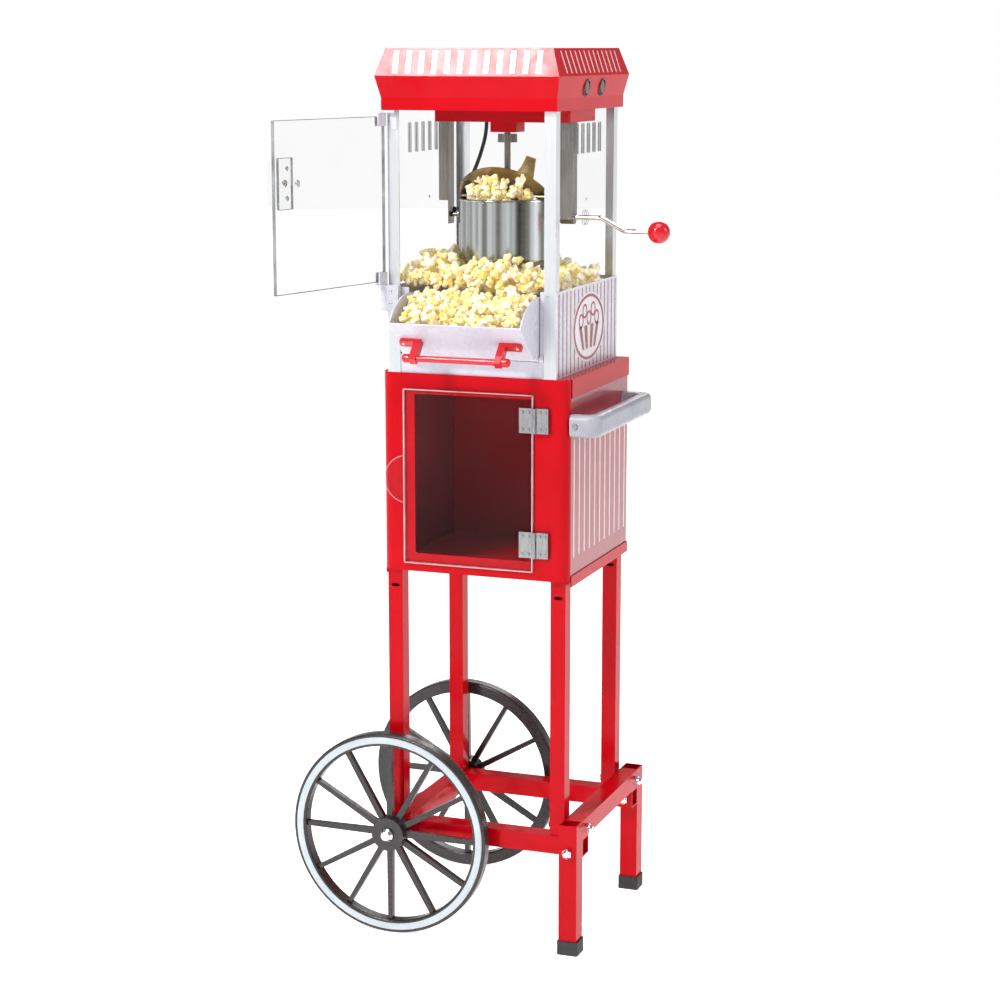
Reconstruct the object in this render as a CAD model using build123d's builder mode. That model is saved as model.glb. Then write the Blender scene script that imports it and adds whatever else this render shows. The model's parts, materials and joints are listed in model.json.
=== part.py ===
"""Popcorn cart: a kettle popcorn machine on a storage cabinet with two spoked wheels.

Millimetres, +Z up, the floor at Z = 0. The origin is on the floor under the middle of the
cabinet. The front faces -Y, the wheels are at the -X end, the push handle at the +X end.
The cart is drawn with its popper door, its tray and its kettle lid open, the rest closed.
"""
from math import atan2, cos, degrees, hypot, pi, radians, sin, tan
import os

from build123d import *

os.makedirs("parts", exist_ok=True)

# ---------------------------------------------------------------- driving dimensions
total_height = 1143.0

# Lower frame
rail_tube = 24.0          # square tube of the rails, cross bars and feet
leg_tube = 20.0           # square tube of the four legs
tube_wall = 1.5
rail_y = 106.0            # middle of each rail and leg, front and rear
rail_z = 137.0
frame_left, frame_right = -121.0, 146.5
leg_x = 111.0
foot_cap_height = 18.0
foot_floor = 4.0          # rubber under the end of each foot's tube
bolt_radius, bolt_hole = 3.0, 3.15

# Wheels
axle_x, axle_z = -111.0, 135.0
axle_radius = 5.0
wheel_radius = 135.0
wheel_y = 139.0           # middle of each wheel
wheel_width = 18.0
rim_inner_radius = 118.0
hub_radius = 22.0
hub_half_width = 12.0
spoke_count = 12

# Cabinet
cabinet_x, cabinet_y = 125.0, 123.0      # half width and half depth
cabinet_bottom, cabinet_top = 484.0, 740.0
sheet = 2.0
corner_radius = 14.0
corner_slack = 0.1                       # between the round corners of the front panel and of what sits in it
front_return = 14.0                      # depth of the front panel's folded sides
band = 1.5                               # how far floor and top fold out over the sides
floor_band = (476.0, 490.0)
top_band_bottom = 716.0
cabinet_opening = (-80.0, 79.0, 508.0, 714.0)   # x from, x to, z from, z to
door_sheet = (-94.0, 80.3, 495.0, 720.0)
door_face_y = -127.5
door_thickness = 4.0
tab_centre, tab_radius = (-89.0, 603.8), 31.0
pin_x, pin_y = 83.2, -130.2
pin_radius, knuckle_radius, leaf_thickness = 1.5, 2.5, 1.5
hinge_spans = ((514.0, 547.0), (672.5, 704.0))  # z of the lower and the upper hinge

# Popcorn machine on top: its case stands a little to the left of the kettle
case_x = -3.0
case_half_x, case_half_y = 111.0, 122.0
case_bottom, base_top, ceiling_z = 740.0, 848.0, 1069.0
post_leg, post_wall = 15.0, 1.5
window_thickness = 2.5
deck_z = 757.0
tray_opening = (87.5, 760.8)             # half width, z of its lower edge

# Canopy: half width, half depth and height of each level
canopy_levels = (
    (115.5, 131.4, 1067.6),
    (115.5, 131.4, 1082.8),
    (120.7, 139.8, 1109.4),
    (109.5, 129.8, total_height),
)
canopy_wall = 2.5
switch_y = (-28.0, 33.0)
switch_z = 1094.4
rocker_tilt = 8.0                        # degrees each side of level

# Kettle
kettle_radius, kettle_wall, kettle_floor = 62.5, 1.2, 3.0
kettle_bottom, kettle_rim = 876.0, 955.0
pivot_z = 932.0
rod_radius = 3.2
boss_x = 66.0                            # outer face of the kettle's pivot bosses
hanger_inner_x = 77.0                    # inner face of the left hanger
stir_radius = 4.0
flap_hinge = (-6.6, 958.6)               # y, z
flap_angle = 44.0                        # how far the lid's flap stands open
flap_underside, flap_thickness = 3.1, 1.2

# Popper door, as drawn
popper_hinge = (-117.5, -128.0)
popper_open = 103.0                      # degrees from closed
popper_width, popper_thickness = 218.0, 4.0
popper_bottom, popper_top = 855.0, 1060.0
popper_pin_radius = 2.0

# Tray, as drawn: y and z of the corners of its side
tray_pivot = (-119.0, 765.0)
tray_heel = (-144.5, 768.0)
tray_lip = (-189.0, 810.0)
tray_crest = (-135.2, 841.3)
tray_back = (-78.4, 826.9)
tray_half_width = 86.5
tray_sheet = 1.5
tray_rod_radius = 2.0
handle_reach = 27.0                      # from the tray's front to the middle of its bar

running_gap = 0.08        # radial clearance of a shaft in its bearing
hinge_gap = 0.25          # between knuckles along a pin

rail_half, leg_half = rail_tube / 2, leg_tube / 2
rail_top = rail_z + rail_half
bar_z = rail_top + rail_half             # middle of the right cross bar
bar_x = frame_right - rail_half
left_bar_x = frame_left + rail_half
foot_y = rail_y + rail_tube              # middle of each foot
seam_y = -cabinet_y + front_return       # where the front panel meets the sides

# ---------------------------------------------------------------- lower frame
with BuildPart() as rails:
    with BuildSketch(Plane.YZ.offset(frame_left)):
        with Locations((-rail_y, rail_z), (rail_y, rail_z)):
            Rectangle(rail_tube, rail_tube)
            Rectangle(rail_tube - 2 * tube_wall, rail_tube - 2 * tube_wall, mode=Mode.SUBTRACT)
    extrude(amount=frame_right - frame_left)
    with BuildSketch(Plane.XZ.offset(-rail_y - rail_tube)):
        with Locations((axle_x, axle_z)):
            Circle(axle_radius)
        with Locations((bar_x, rail_z)):
            Circle(bolt_hole)
    extrude(amount=2 * (rail_y + rail_tube), mode=Mode.SUBTRACT)
rails.part.label = "rails"
export_step(rails.part, "parts/rails.step")

with BuildPart() as left_cross_bar:
    with BuildSketch(Plane.XZ.offset(-rail_y + rail_half)):
        with Locations((left_bar_x, rail_z)):
            Rectangle(rail_tube, rail_tube)
            Rectangle(rail_tube - 2 * tube_wall, rail_tube - 2 * tube_wall, mode=Mode.SUBTRACT)
    extrude(amount=2 * (rail_y - rail_half))
left_cross_bar.part.label = "left_cross_bar"
export_step(left_cross_bar.part, "parts/left_cross_bar.step")

with BuildPart() as right_cross_bar:
    with BuildSketch(Plane.XZ.offset(-rail_y - rail_half)):
        with Locations((bar_x, bar_z)):
            Rectangle(rail_tube, rail_tube)
            Rectangle(rail_tube - 2 * tube_wall, rail_tube - 2 * tube_wall, mode=Mode.SUBTRACT)
    extrude(amount=2 * (rail_y + rail_half))
    with BuildSketch(Plane.YZ.offset(bar_x - rail_tube)):
        with Locations((-rail_y, bar_z), (rail_y, bar_z)):
            Circle(bolt_hole)
    extrude(amount=2 * rail_tube, mode=Mode.SUBTRACT)
right_cross_bar.part.label = "right_cross_bar"
export_step(right_cross_bar.part, "parts/right_cross_bar.step")

leg_slot_z = 462.0
with BuildPart() as legs:
    with BuildSketch(Plane.XY.offset(rail_top)):
        with GridLocations(2 * leg_x, 2 * rail_y, 2, 2):
            Rectangle(leg_tube, leg_tube)
            Rectangle(leg_tube - 2 * tube_wall, leg_tube - 2 * tube_wall, mode=Mode.SUBTRACT)
    extrude(amount=cabinet_bottom - rail_top)
    for y in (-rail_y, rail_y):
        with BuildSketch(Plane.XZ.offset(-y + leg_half - 2 * tube_wall)):
            with Locations((-leg_x, leg_slot_z), (leg_x, leg_slot_z)):
                SlotOverall(11, 4)
        extrude(amount=3 * tube_wall, mode=Mode.SUBTRACT)
    with BuildSketch(Plane.YZ.offset(leg_x - leg_tube)):
        with Locations((-rail_y, bar_z), (rail_y, bar_z)):
            Circle(bolt_hole)
    extrude(amount=2 * leg_tube, mode=Mode.SUBTRACT)
legs.part.label = "legs"
export_step(legs.part, "parts/legs.step")

with BuildPart() as feet:
    for side in (-1, 1):
        with BuildSketch(Plane((bar_x, side * foot_y, foot_floor))):
            Rectangle(rail_tube, rail_tube)
            Rectangle(rail_tube - 2 * tube_wall, rail_tube - 2 * tube_wall, mode=Mode.SUBTRACT)
        extrude(amount=bar_z + rail_half - foot_floor)
    with BuildSketch(Plane.XZ.offset(-foot_y - rail_tube)):
        with Locations((bar_x, rail_z)):
            Circle(bolt_hole)
    extrude(amount=2 * (foot_y + rail_tube), mode=Mode.SUBTRACT)
feet.part.label = "feet"
export_step(feet.part, "parts/feet.step")

with BuildPart() as foot_caps:
    for side in (-1, 1):
        with BuildSketch(Plane((bar_x, side * foot_y, 0))):
            RectangleRounded(rail_tube + 4, rail_tube + 4, 3)
        extrude(amount=foot_cap_height)
        with BuildSketch(Plane((bar_x, side * foot_y, foot_floor))):
            Rectangle(rail_tube, rail_tube)
        extrude(amount=foot_cap_height, mode=Mode.SUBTRACT)
foot_caps.part.label = "foot_caps"
export_step(foot_caps.part, "parts/foot_caps.step")

# Each bolt starts under its cap nut and runs inwards. The plane's Z points out of the nut.
nut_planes = (
    Plane((bar_x, -foot_y - rail_half, rail_z), z_dir=(0, -1, 0)),
    Plane((bar_x, rail_y - rail_half, rail_z), z_dir=(0, -1, 0)),
    Plane((frame_right, -rail_y, bar_z), z_dir=(1, 0, 0)),
    Plane((frame_right, rail_y, bar_z), z_dir=(1, 0, 0)),
)
cross_bolt_length = frame_right - leg_x + leg_half
bolt_lengths = (2 * rail_tube, 2 * rail_tube, cross_bolt_length, cross_bolt_length)
with BuildPart() as frame_bolts:
    for plane, length in zip(nut_planes, bolt_lengths):
        with BuildSketch(plane):
            Circle(bolt_radius)
        extrude(amount=-length)
        with BuildSketch(plane.offset(-length)):
            Circle(6)
        extrude(amount=-3.5, taper=25)
frame_bolts.part.label = "frame_bolts"
export_step(frame_bolts.part, "parts/frame_bolts.step")

with BuildPart() as cap_nuts:
    for plane in nut_planes:
        with BuildSketch(plane):
            RegularPolygon(6.6, 6)
        extrude(amount=4.5)
        with BuildSketch(plane.offset(4.5)):
            Circle(5.4)
        extrude(amount=2)
        with BuildSketch(plane.offset(6.5)):
            Circle(5.4)
        extrude(amount=3.4, taper=32)
cap_nuts.part.label = "cap_nuts"
export_step(cap_nuts.part, "parts/cap_nuts.step")

# ---------------------------------------------------------------- axle and wheels
axle_half_length = wheel_y + hub_half_width + 5.0
hub_inner_y = wheel_y - hub_half_width
cap_y = wheel_y + hub_half_width + 0.4

with BuildPart() as axle:
    with BuildSketch(Plane.XZ.offset(-axle_half_length)):
        with Locations((axle_x, axle_z)):
            Circle(axle_radius)
    extrude(amount=2 * axle_half_length)
axle.part.label = "axle"
export_step(axle.part, "parts/axle.step")

with BuildPart() as axle_spacers:
    for side in (-1, 1):
        with BuildSketch(Plane((axle_x, side * (rail_y + rail_half), axle_z), z_dir=(0, side, 0))):
            Circle(9)
            Circle(axle_radius, mode=Mode.SUBTRACT)
        extrude(amount=hub_inner_y - 0.4 - rail_y - rail_half)
axle_spacers.part.label = "axle_spacers"
export_step(axle_spacers.part, "parts/axle_spacers.step")

with BuildPart() as axle_caps:
    for side in (-1, 1):
        cap_plane = Plane((axle_x, side * cap_y, axle_z), z_dir=(0, side, 0))
        with BuildSketch(cap_plane):
            Circle(9)
        extrude(amount=3)
        with BuildSketch(cap_plane.offset(3)):
            Circle(9)
        extrude(amount=4.2, taper=38)
        with BuildSketch(cap_plane):
            Circle(axle_radius)
        extrude(amount=axle_half_length - cap_y, mode=Mode.SUBTRACT)
axle_caps.part.label = "axle_caps"
export_step(axle_caps.part, "parts/axle_caps.step")

spoke_root, spoke_tip = hub_radius - 3, rim_inner_radius + 2
for side, place in ((-1, "front"), (1, "rear")):
    # The wheel's plane has its Z along the axle, pointing away from the cart.
    wheel_plane = Plane((axle_x, side * wheel_y, axle_z), x_dir=(1, 0, 0), z_dir=(0, side, 0))
    with BuildPart() as wheel:
        with BuildSketch(wheel_plane.offset(-wheel_width / 2)):
            Circle(wheel_radius)
            Circle(rim_inner_radius, mode=Mode.SUBTRACT)
        extrude(amount=wheel_width)
        fillet(wheel.edges().filter_by(GeomType.CIRCLE), 2.5)
        with BuildSketch(wheel_plane.offset(-hub_half_width)):
            Circle(hub_radius)
        extrude(amount=2 * hub_half_width)
        with BuildSketch(wheel_plane.offset(-4)):
            with PolarLocations(0, spoke_count):
                Polygon(
                    (spoke_root, -4), (spoke_tip, -3), (spoke_tip, 3), (spoke_root, 4), align=None,
                )
        extrude(amount=8)
        with BuildSketch(wheel_plane.offset(-wheel_width)):
            Circle(axle_radius + running_gap)
        extrude(amount=2 * wheel_width, mode=Mode.SUBTRACT)
    wheel.part.label = f"{place}_wheel"
    export_step(wheel.part, f"parts/{place}_wheel.step")

# ---------------------------------------------------------------- cabinet hinge and its screws
hinge_screw_radius, hinge_screw_hole = 1.2, 1.3
door_screw_xz = [(x, z) for x in (67.0, 75.5) for low, high in hinge_spans for z in (low + 5, high - 5)]
fixed_screw_xz = [(x, z) for x in (90.5, 97.5) for low, high in hinge_spans for z in (low + 5, high - 5)]
leaf_face_y = door_face_y - leaf_thickness
screw_depth = -cabinet_y + sheet - leaf_face_y       # through leaf, spacer pad and front panel

# ---------------------------------------------------------------- cabinet
opening_x = (cabinet_opening[0] + cabinet_opening[1]) / 2
opening_z = (cabinet_opening[2] + cabinet_opening[3]) / 2
with BuildPart() as cabinet_front:
    with BuildSketch(Plane.XY.offset(cabinet_bottom)):
        with Locations((0, -cabinet_y + 2 * front_return)):
            RectangleRounded(2 * cabinet_x, 4 * front_return, corner_radius - corner_slack)
            RectangleRounded(
                2 * (cabinet_x - sheet), 4 * front_return - 2 * sheet, corner_radius - sheet,
                mode=Mode.SUBTRACT,
            )
        with Locations((0, seam_y + 2 * front_return)):
            Rectangle(3 * cabinet_x, 4 * front_return, mode=Mode.SUBTRACT)
    extrude(amount=cabinet_top - sheet - cabinet_bottom)
    with BuildSketch(Plane.XZ.offset(cabinet_y - 2 * sheet)):
        with Locations((opening_x, opening_z)):
            RectangleRounded(
                cabinet_opening[1] - cabinet_opening[0], cabinet_opening[3] - cabinet_opening[2], 3,
            )
        with Locations(*fixed_screw_xz):
            Circle(hinge_screw_hole)
    extrude(amount=3 * sheet, mode=Mode.SUBTRACT)
cabinet_front.part.label = "cabinet_front"
export_step(cabinet_front.part, "parts/cabinet_front.step")

wall_bottom, wall_top = cabinet_bottom + sheet, cabinet_top - sheet
with BuildPart() as cabinet_sides:
    with BuildSketch(Plane((0, (seam_y + cabinet_y) / 2, wall_bottom))):
        with GridLocations(2 * cabinet_x - sheet, 0, 2, 1):
            Rectangle(sheet, cabinet_y - seam_y)
    extrude(amount=wall_top - wall_bottom)
cabinet_sides.part.label = "cabinet_sides"
export_step(cabinet_sides.part, "parts/cabinet_sides.step")

with BuildPart() as cabinet_back:
    with BuildSketch(Plane((0, cabinet_y - sheet / 2, wall_bottom))):
        Rectangle(2 * (cabinet_x - sheet), sheet)
    extrude(amount=wall_top - wall_bottom)
cabinet_back.part.label = "cabinet_back"
export_step(cabinet_back.part, "parts/cabinet_back.step")

# Floor and top are trays folded out over the sides and the back, behind the front panel.
band_middle_y = (seam_y + cabinet_y + band) / 2
band_depth = cabinet_y + band - seam_y
for name, plate_z, band_z in (
    ("cabinet_floor", cabinet_bottom, floor_band),
    ("cabinet_top", wall_top, (top_band_bottom, cabinet_top)),
):
    with BuildPart() as cover:
        with BuildSketch(Plane.XY.offset(band_z[0])):
            with Locations((0, band_middle_y)):
                Rectangle(2 * (cabinet_x + band), band_depth)
            with Locations((0, band_middle_y - band)):
                Rectangle(2 * cabinet_x, band_depth, mode=Mode.SUBTRACT)
        extrude(amount=band_z[1] - band_z[0])
        with BuildSketch(Plane.XY.offset(plate_z)):
            with Locations((0, band_middle_y)):
                Rectangle(2 * (cabinet_x + band), band_depth)
            if name == "cabinet_top":
                with Locations((0, -cabinet_y + 2 * front_return)):
                    RectangleRounded(2 * cabinet_x, 4 * front_return, corner_radius - corner_slack)
        extrude(amount=sheet)
    cover.part.label = name
    export_step(cover.part, f"parts/{name}.step")

# ---------------------------------------------------------------- cabinet door and its hinges
with BuildPart() as cabinet_door:
    with BuildSketch(Plane.XZ.offset(-door_face_y - door_thickness)):
        with Locations(((door_sheet[0] + door_sheet[1]) / 2, (door_sheet[2] + door_sheet[3]) / 2)):
            RectangleRounded(door_sheet[1] - door_sheet[0], door_sheet[3] - door_sheet[2], 4)
        with Locations(tab_centre):
            Circle(tab_radius)
        with Locations(*door_screw_xz):
            Circle(hinge_screw_hole, mode=Mode.SUBTRACT)
    extrude(amount=door_thickness)
cabinet_door.part.label = "cabinet_door"
export_step(cabinet_door.part, "parts/cabinet_door.step")

leaf_edge = knuckle_radius + 0.5          # how far a leaf's plate stays from the pin
with BuildPart() as cabinet_door_leaves:
    for low, high in hinge_spans:
        third = (high - low) / 3
        with BuildSketch(Plane((pin_x, door_face_y, low), x_dir=(1, 0, 0), z_dir=(0, 0, 1))):
            with Locations((-(leaf_edge + 17.2) / 2 - leaf_edge / 2, -leaf_thickness / 2)):
                Rectangle(17.2, leaf_thickness)
        extrude(amount=high - low)
        with BuildSketch(Plane((pin_x, pin_y, low + third + hinge_gap))):
            with Locations((-leaf_edge / 2 - 0.5, door_face_y - pin_y - leaf_thickness / 2)):
                Rectangle(leaf_edge + 1, leaf_thickness)
            Circle(knuckle_radius)
        extrude(amount=third - 2 * hinge_gap)
    with BuildSketch(Plane((pin_x, pin_y, hinge_spans[0][0]))):
        Circle(pin_radius + running_gap)
    extrude(amount=hinge_spans[1][1] - hinge_spans[0][0], mode=Mode.SUBTRACT)
    with BuildSketch(Plane.XZ.offset(-door_face_y)):
        with Locations(*door_screw_xz):
            Circle(hinge_screw_hole)
    extrude(amount=leaf_thickness, mode=Mode.SUBTRACT)
cabinet_door_leaves.part.label = "cabinet_door_leaves"
export_step(cabinet_door_leaves.part, "parts/cabinet_door_leaves.step")

fixed_leaf_width = 15.3
with BuildPart() as cabinet_hinge_leaves:
    for low, high in hinge_spans:
        third = (high - low) / 3
        with BuildSketch(Plane((pin_x, door_face_y, low))):
            with Locations((leaf_edge + fixed_leaf_width / 2, -leaf_thickness / 2)):
                Rectangle(fixed_leaf_width, leaf_thickness)
        extrude(amount=high - low)
        for knuckle_z in (low, high - third + hinge_gap):
            with BuildSketch(Plane((pin_x, pin_y, knuckle_z))):
                with Locations((leaf_edge / 2 + 0.5, door_face_y - pin_y - leaf_thickness / 2)):
                    Rectangle(leaf_edge + 1, leaf_thickness)
                Circle(knuckle_radius)
            extrude(amount=third - hinge_gap)
    with BuildSketch(Plane((pin_x, pin_y, hinge_spans[0][0]))):
        Circle(pin_radius)
    extrude(amount=hinge_spans[1][1] - hinge_spans[0][0], mode=Mode.SUBTRACT)
    with BuildSketch(Plane.XZ.offset(-door_face_y)):
        with Locations(*fixed_screw_xz):
            Circle(hinge_screw_hole)
    extrude(amount=leaf_thickness, mode=Mode.SUBTRACT)
cabinet_hinge_leaves.part.label = "cabinet_hinge_leaves"
export_step(cabinet_hinge_leaves.part, "parts/cabinet_hinge_leaves.step")

with BuildPart() as cabinet_hinge_pads:
    for low, high in hinge_spans:
        with BuildSketch(Plane.XZ.offset(cabinet_y)):
            with Locations((pin_x + leaf_edge + fixed_leaf_width / 2, (low + high) / 2)):
                Rectangle(fixed_leaf_width, high - low)
            with Locations(*fixed_screw_xz):
                Circle(hinge_screw_hole, mode=Mode.SUBTRACT)
        extrude(amount=-door_face_y - cabinet_y)
cabinet_hinge_pads.part.label = "cabinet_hinge_pads"
export_step(cabinet_hinge_pads.part, "parts/cabinet_hinge_pads.step")

with BuildPart() as cabinet_hinge_pins:
    for low, high in hinge_spans:
        with BuildSketch(Plane((pin_x, pin_y, low))):
            Circle(pin_radius)
        extrude(amount=high - low)
cabinet_hinge_pins.part.label = "cabinet_hinge_pins"
export_step(cabinet_hinge_pins.part, "parts/cabinet_hinge_pins.step")

with BuildPart() as cabinet_door_screws:
    with BuildSketch(Plane.XZ.offset(-leaf_face_y)):
        with Locations(*door_screw_xz):
            Circle(2.4)
    extrude(amount=1.3, taper=25)
    with BuildSketch(Plane.XZ.offset(-leaf_face_y)):
        with Locations(*door_screw_xz):
            Circle(hinge_screw_radius)
    extrude(amount=-leaf_thickness - door_thickness)
cabinet_door_screws.part.label = "cabinet_door_screws"
export_step(cabinet_door_screws.part, "parts/cabinet_door_screws.step")

# ---------------------------------------------------------------- push handle
handle_z = (668.0, 696.0)
handle_reach_x, handle_half_y = 164.0, 117.0
handle_grip, handle_arm = 18.0, 20.0     # thickness of the grip and of the arms
handle_rounding = 7.0
handle_middle_z = (handle_z[0] + handle_z[1]) / 2
handle_screw_x = 132.5
with BuildPart() as push_handle:
    with BuildSketch(Plane.XY.offset(handle_z[0])):
        with Locations((handle_reach_x / 2, 0)):
            RectangleRounded(handle_reach_x, 2 * handle_half_y, 16)
        with Locations(((handle_reach_x - handle_grip) / 2, 0)):
            RectangleRounded(
                handle_reach_x - handle_grip, 2 * (handle_half_y - handle_arm), 8, mode=Mode.SUBTRACT,
            )
        with Locations((0, 0)):
            Rectangle(2 * cabinet_x, 3 * handle_half_y, mode=Mode.SUBTRACT)
    extrude(amount=handle_z[1] - handle_z[0])
    top_and_bottom = push_handle.faces().filter_by(Axis.Z).edges()
    fillet(top_and_bottom.filter_by(lambda edge: edge.center().X > cabinet_x + 1), handle_rounding)
    with BuildSketch(Plane.XZ.offset(-2 * handle_half_y)):
        with Locations((handle_screw_x, handle_middle_z)):
            Circle(2)
    extrude(amount=4 * handle_half_y, mode=Mode.SUBTRACT)
push_handle.part.label = "push_handle"
export_step(push_handle.part, "parts/push_handle.step")

# ---------------------------------------------------------------- popcorn machine: case
with BuildPart() as corner_posts:
    for side_x in (-1, 1):
        for side_y in (-1, 1):
            corner = Plane((case_x + side_x * case_half_x, side_y * case_half_y, case_bottom))
            with BuildSketch(corner):
                with Locations((-side_x * post_leg / 2, -side_y * post_leg / 2)):
                    Rectangle(post_leg, post_leg)
                inset = post_wall + post_leg / 2
                with Locations((-side_x * inset, -side_y * inset)):
                    Rectangle(post_leg, post_leg, mode=Mode.SUBTRACT)
            extrude(amount=ceiling_z - case_bottom)
corner_posts.part.label = "corner_posts"
export_step(corner_posts.part, "parts/corner_posts.step")

inside_x, inside_y = case_half_x - post_wall, case_half_y - post_wall
pivot_hole_radius = 9.5
vent_y = [-57.0 + 22.4 * i for i in range(6)]
vent_bottom, vent_height, vent_width = 1013.0, 37.0, 3.5
with BuildPart() as side_windows:
    for side in (-1, 1):
        with BuildSketch(Plane.YZ.offset(case_x + side * (inside_x - window_thickness / 2))):
            with Locations((0, (base_top + ceiling_z - 2) / 2)):
                Rectangle(2 * (inside_y - sheet), ceiling_z - 2 - base_top)
            with Locations(*[(y, vent_bottom + vent_height / 2) for y in vent_y]):
                SlotOverall(vent_height, vent_width, rotation=90, mode=Mode.SUBTRACT)
        extrude(amount=window_thickness / 2, both=True)
    with BuildSketch(Plane.YZ.offset(case_x)):
        with Locations((0, pivot_z)):
            Circle(pivot_hole_radius)
    extrude(amount=case_half_x, mode=Mode.SUBTRACT)
side_windows.part.label = "side_windows"
export_step(side_windows.part, "parts/side_windows.step")

with BuildPart() as back_window:
    with BuildSketch(Plane((case_x, inside_y - window_thickness, base_top))):
        Rectangle(2 * (inside_x - window_thickness), window_thickness)
    extrude(amount=ceiling_z - 2 - base_top)
back_window.part.label = "back_window"
export_step(back_window.part, "parts/back_window.step")

with BuildPart() as base_front:
    with BuildSketch(Plane((case_x, -inside_y, case_bottom), x_dir=(1, 0, 0), z_dir=(0, 1, 0))):
        with Locations((0, -(base_top - case_bottom) / 2)):
            Rectangle(2 * inside_x, base_top - case_bottom)
        with Locations((-case_x, -(tray_opening[1] - case_bottom) - 100)):
            Rectangle(2 * tray_opening[0], 200, mode=Mode.SUBTRACT)
    extrude(amount=post_wall)
    for side in (-1, 1):
        with BuildSketch(Plane.YZ.offset(side * (tray_opening[0] + 2.5))):
            with Locations(tray_pivot):
                Circle(5)
        extrude(amount=2.5, both=True)
    with BuildSketch(Plane.YZ.offset(-case_half_x)):
        with Locations(tray_pivot):
            Circle(tray_rod_radius)
    extrude(amount=2 * case_half_x, mode=Mode.SUBTRACT)
base_front.part.label = "base_front"
export_step(base_front.part, "parts/base_front.step")

# Deck under the popcorn, folded up into the back of the base
base_back_y = case_half_y - post_wall - post_wall
with BuildPart() as base_pan:
    with BuildSketch(Plane((case_x, (base_back_y - inside_y) / 2 + 1.5, deck_z))):
        Rectangle(2 * inside_x, inside_y + base_back_y - 3)
    extrude(amount=post_wall)
    with BuildSketch(Plane((case_x, base_back_y + post_wall / 2, case_bottom))):
        Rectangle(2 * inside_x, post_wall)
    extrude(amount=base_top - case_bottom)
base_pan.part.label = "base_pan"
export_step(base_pan.part, "parts/base_pan.step")

with BuildPart() as base_side_panels:
    for side in (-1, 1):
        with BuildSketch(Plane((case_x + side * (case_half_x + post_wall / 2), 0, case_bottom))):
            Rectangle(post_wall, 2 * case_half_y)
        extrude(amount=base_top - case_bottom)
base_side_panels.part.label = "base_side_panels"
export_step(base_side_panels.part, "parts/base_side_panels.step")

badge_centre, badge_width, badge_height = (3.0, 793.0), 130.0, 89.0
with BuildPart() as side_badges:
    for side in (-1, 1):
        face_x = case_x + side * (case_half_x + post_wall)
        with BuildSketch(Plane((face_x, 0, 0), x_dir=(0, side, 0), z_dir=(side, 0, 0))):
            with Locations((side * badge_centre[0], badge_centre[1])):
                Ellipse(badge_width / 2, badge_height / 2)
        extrude(amount=0.5)
side_badges.part.label = "side_badges"
export_step(side_badges.part, "parts/side_badges.step")

# ---------------------------------------------------------------- canopy and its switches
slope_in = canopy_levels[2][0] - canopy_levels[1][0]
slope_up = canopy_levels[2][2] - canopy_levels[1][2]
slope_angle = degrees(atan2(slope_in, slope_up))
switch_x = case_x + canopy_levels[1][0] + (switch_z - canopy_levels[1][2]) * slope_in / slope_up


def switch_plane(y, tilt=0.0):
    """The canopy's right lower slope at one switch, its Z pointing out of the canopy."""
    angle = radians(slope_angle + tilt)
    return Plane((switch_x, y, switch_z), x_dir=(0, 1, 0), z_dir=(cos(angle), 0, -sin(angle)))


bezel_hole, bezel_outer, bezel_flange, bezel_depth = 9.2, 10.0, 11.3, 10.0
with BuildPart() as canopy:
    for wall, mode in ((0.0, Mode.ADD), (canopy_wall, Mode.SUBTRACT)):
        for lower, upper in zip(canopy_levels, canopy_levels[1:]):
            top_z = upper[2] - wall if upper[2] == total_height else upper[2]
            with BuildSketch(Plane((case_x, 0, lower[2]))):
                Rectangle(2 * (lower[0] - wall), 2 * (lower[1] - wall))
            with BuildSketch(Plane((case_x, 0, top_z))):
                Rectangle(2 * (upper[0] - wall), 2 * (upper[1] - wall))
            loft(mode=mode)
    for y in switch_y:
        with BuildSketch(switch_plane(y).offset(-2 * canopy_wall)):
            Circle(bezel_outer)
        extrude(amount=4 * canopy_wall, mode=Mode.SUBTRACT)
canopy.part.label = "canopy"
export_step(canopy.part, "parts/canopy.step")

with BuildPart() as switch_bezels:
    for y in switch_y:
        with BuildSketch(switch_plane(y)):
            Circle(bezel_flange)
        extrude(amount=1.6, taper=20)
        with BuildSketch(switch_plane(y)):
            Circle(bezel_outer)
        extrude(amount=-bezel_depth)
        with BuildSketch(switch_plane(y).offset(1.6)):
            Circle(bezel_hole)
        extrude(amount=-bezel_depth, mode=Mode.SUBTRACT)
switch_bezels.part.label = "switch_bezels"
export_step(switch_bezels.part, "parts/switch_bezels.step")

rocker_radius, rocker_axis_depth, rocker_face = 8.2, 3.0, 4.6
for y, place in zip(switch_y, ("front", "rear")):
    # The rocker turns about an axis below the bezel's face.
    axis_point = switch_plane(y).offset(-rocker_axis_depth).origin
    tilted = switch_plane(y, -rocker_tilt)
    rocker_plane = Plane(axis_point, x_dir=tilted.x_dir, z_dir=tilted.z_dir)
    with BuildPart() as rocker:
        with BuildSketch(rocker_plane.offset(-2)):
            Circle(rocker_radius)
        extrude(amount=rocker_face + 2)
        fillet(rocker.faces().sort_by(SortBy.DISTANCE)[-1].edges(), 0.8)
    rocker.part.label = f"{place}_rocker"
    export_step(rocker.part, f"parts/{place}_rocker.step")

with BuildPart() as ceiling_plate:
    with BuildSketch(Plane((case_x, 0, ceiling_z))):
        Rectangle(2 * (canopy_levels[0][0] - canopy_wall), 2 * (canopy_levels[0][1] - canopy_wall))
        with Locations((-case_x, 0)):
            Circle(8, mode=Mode.SUBTRACT)
    extrude(amount=post_wall)
ceiling_plate.part.label = "ceiling_plate"
export_step(ceiling_plate.part, "parts/ceiling_plate.step")

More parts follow.
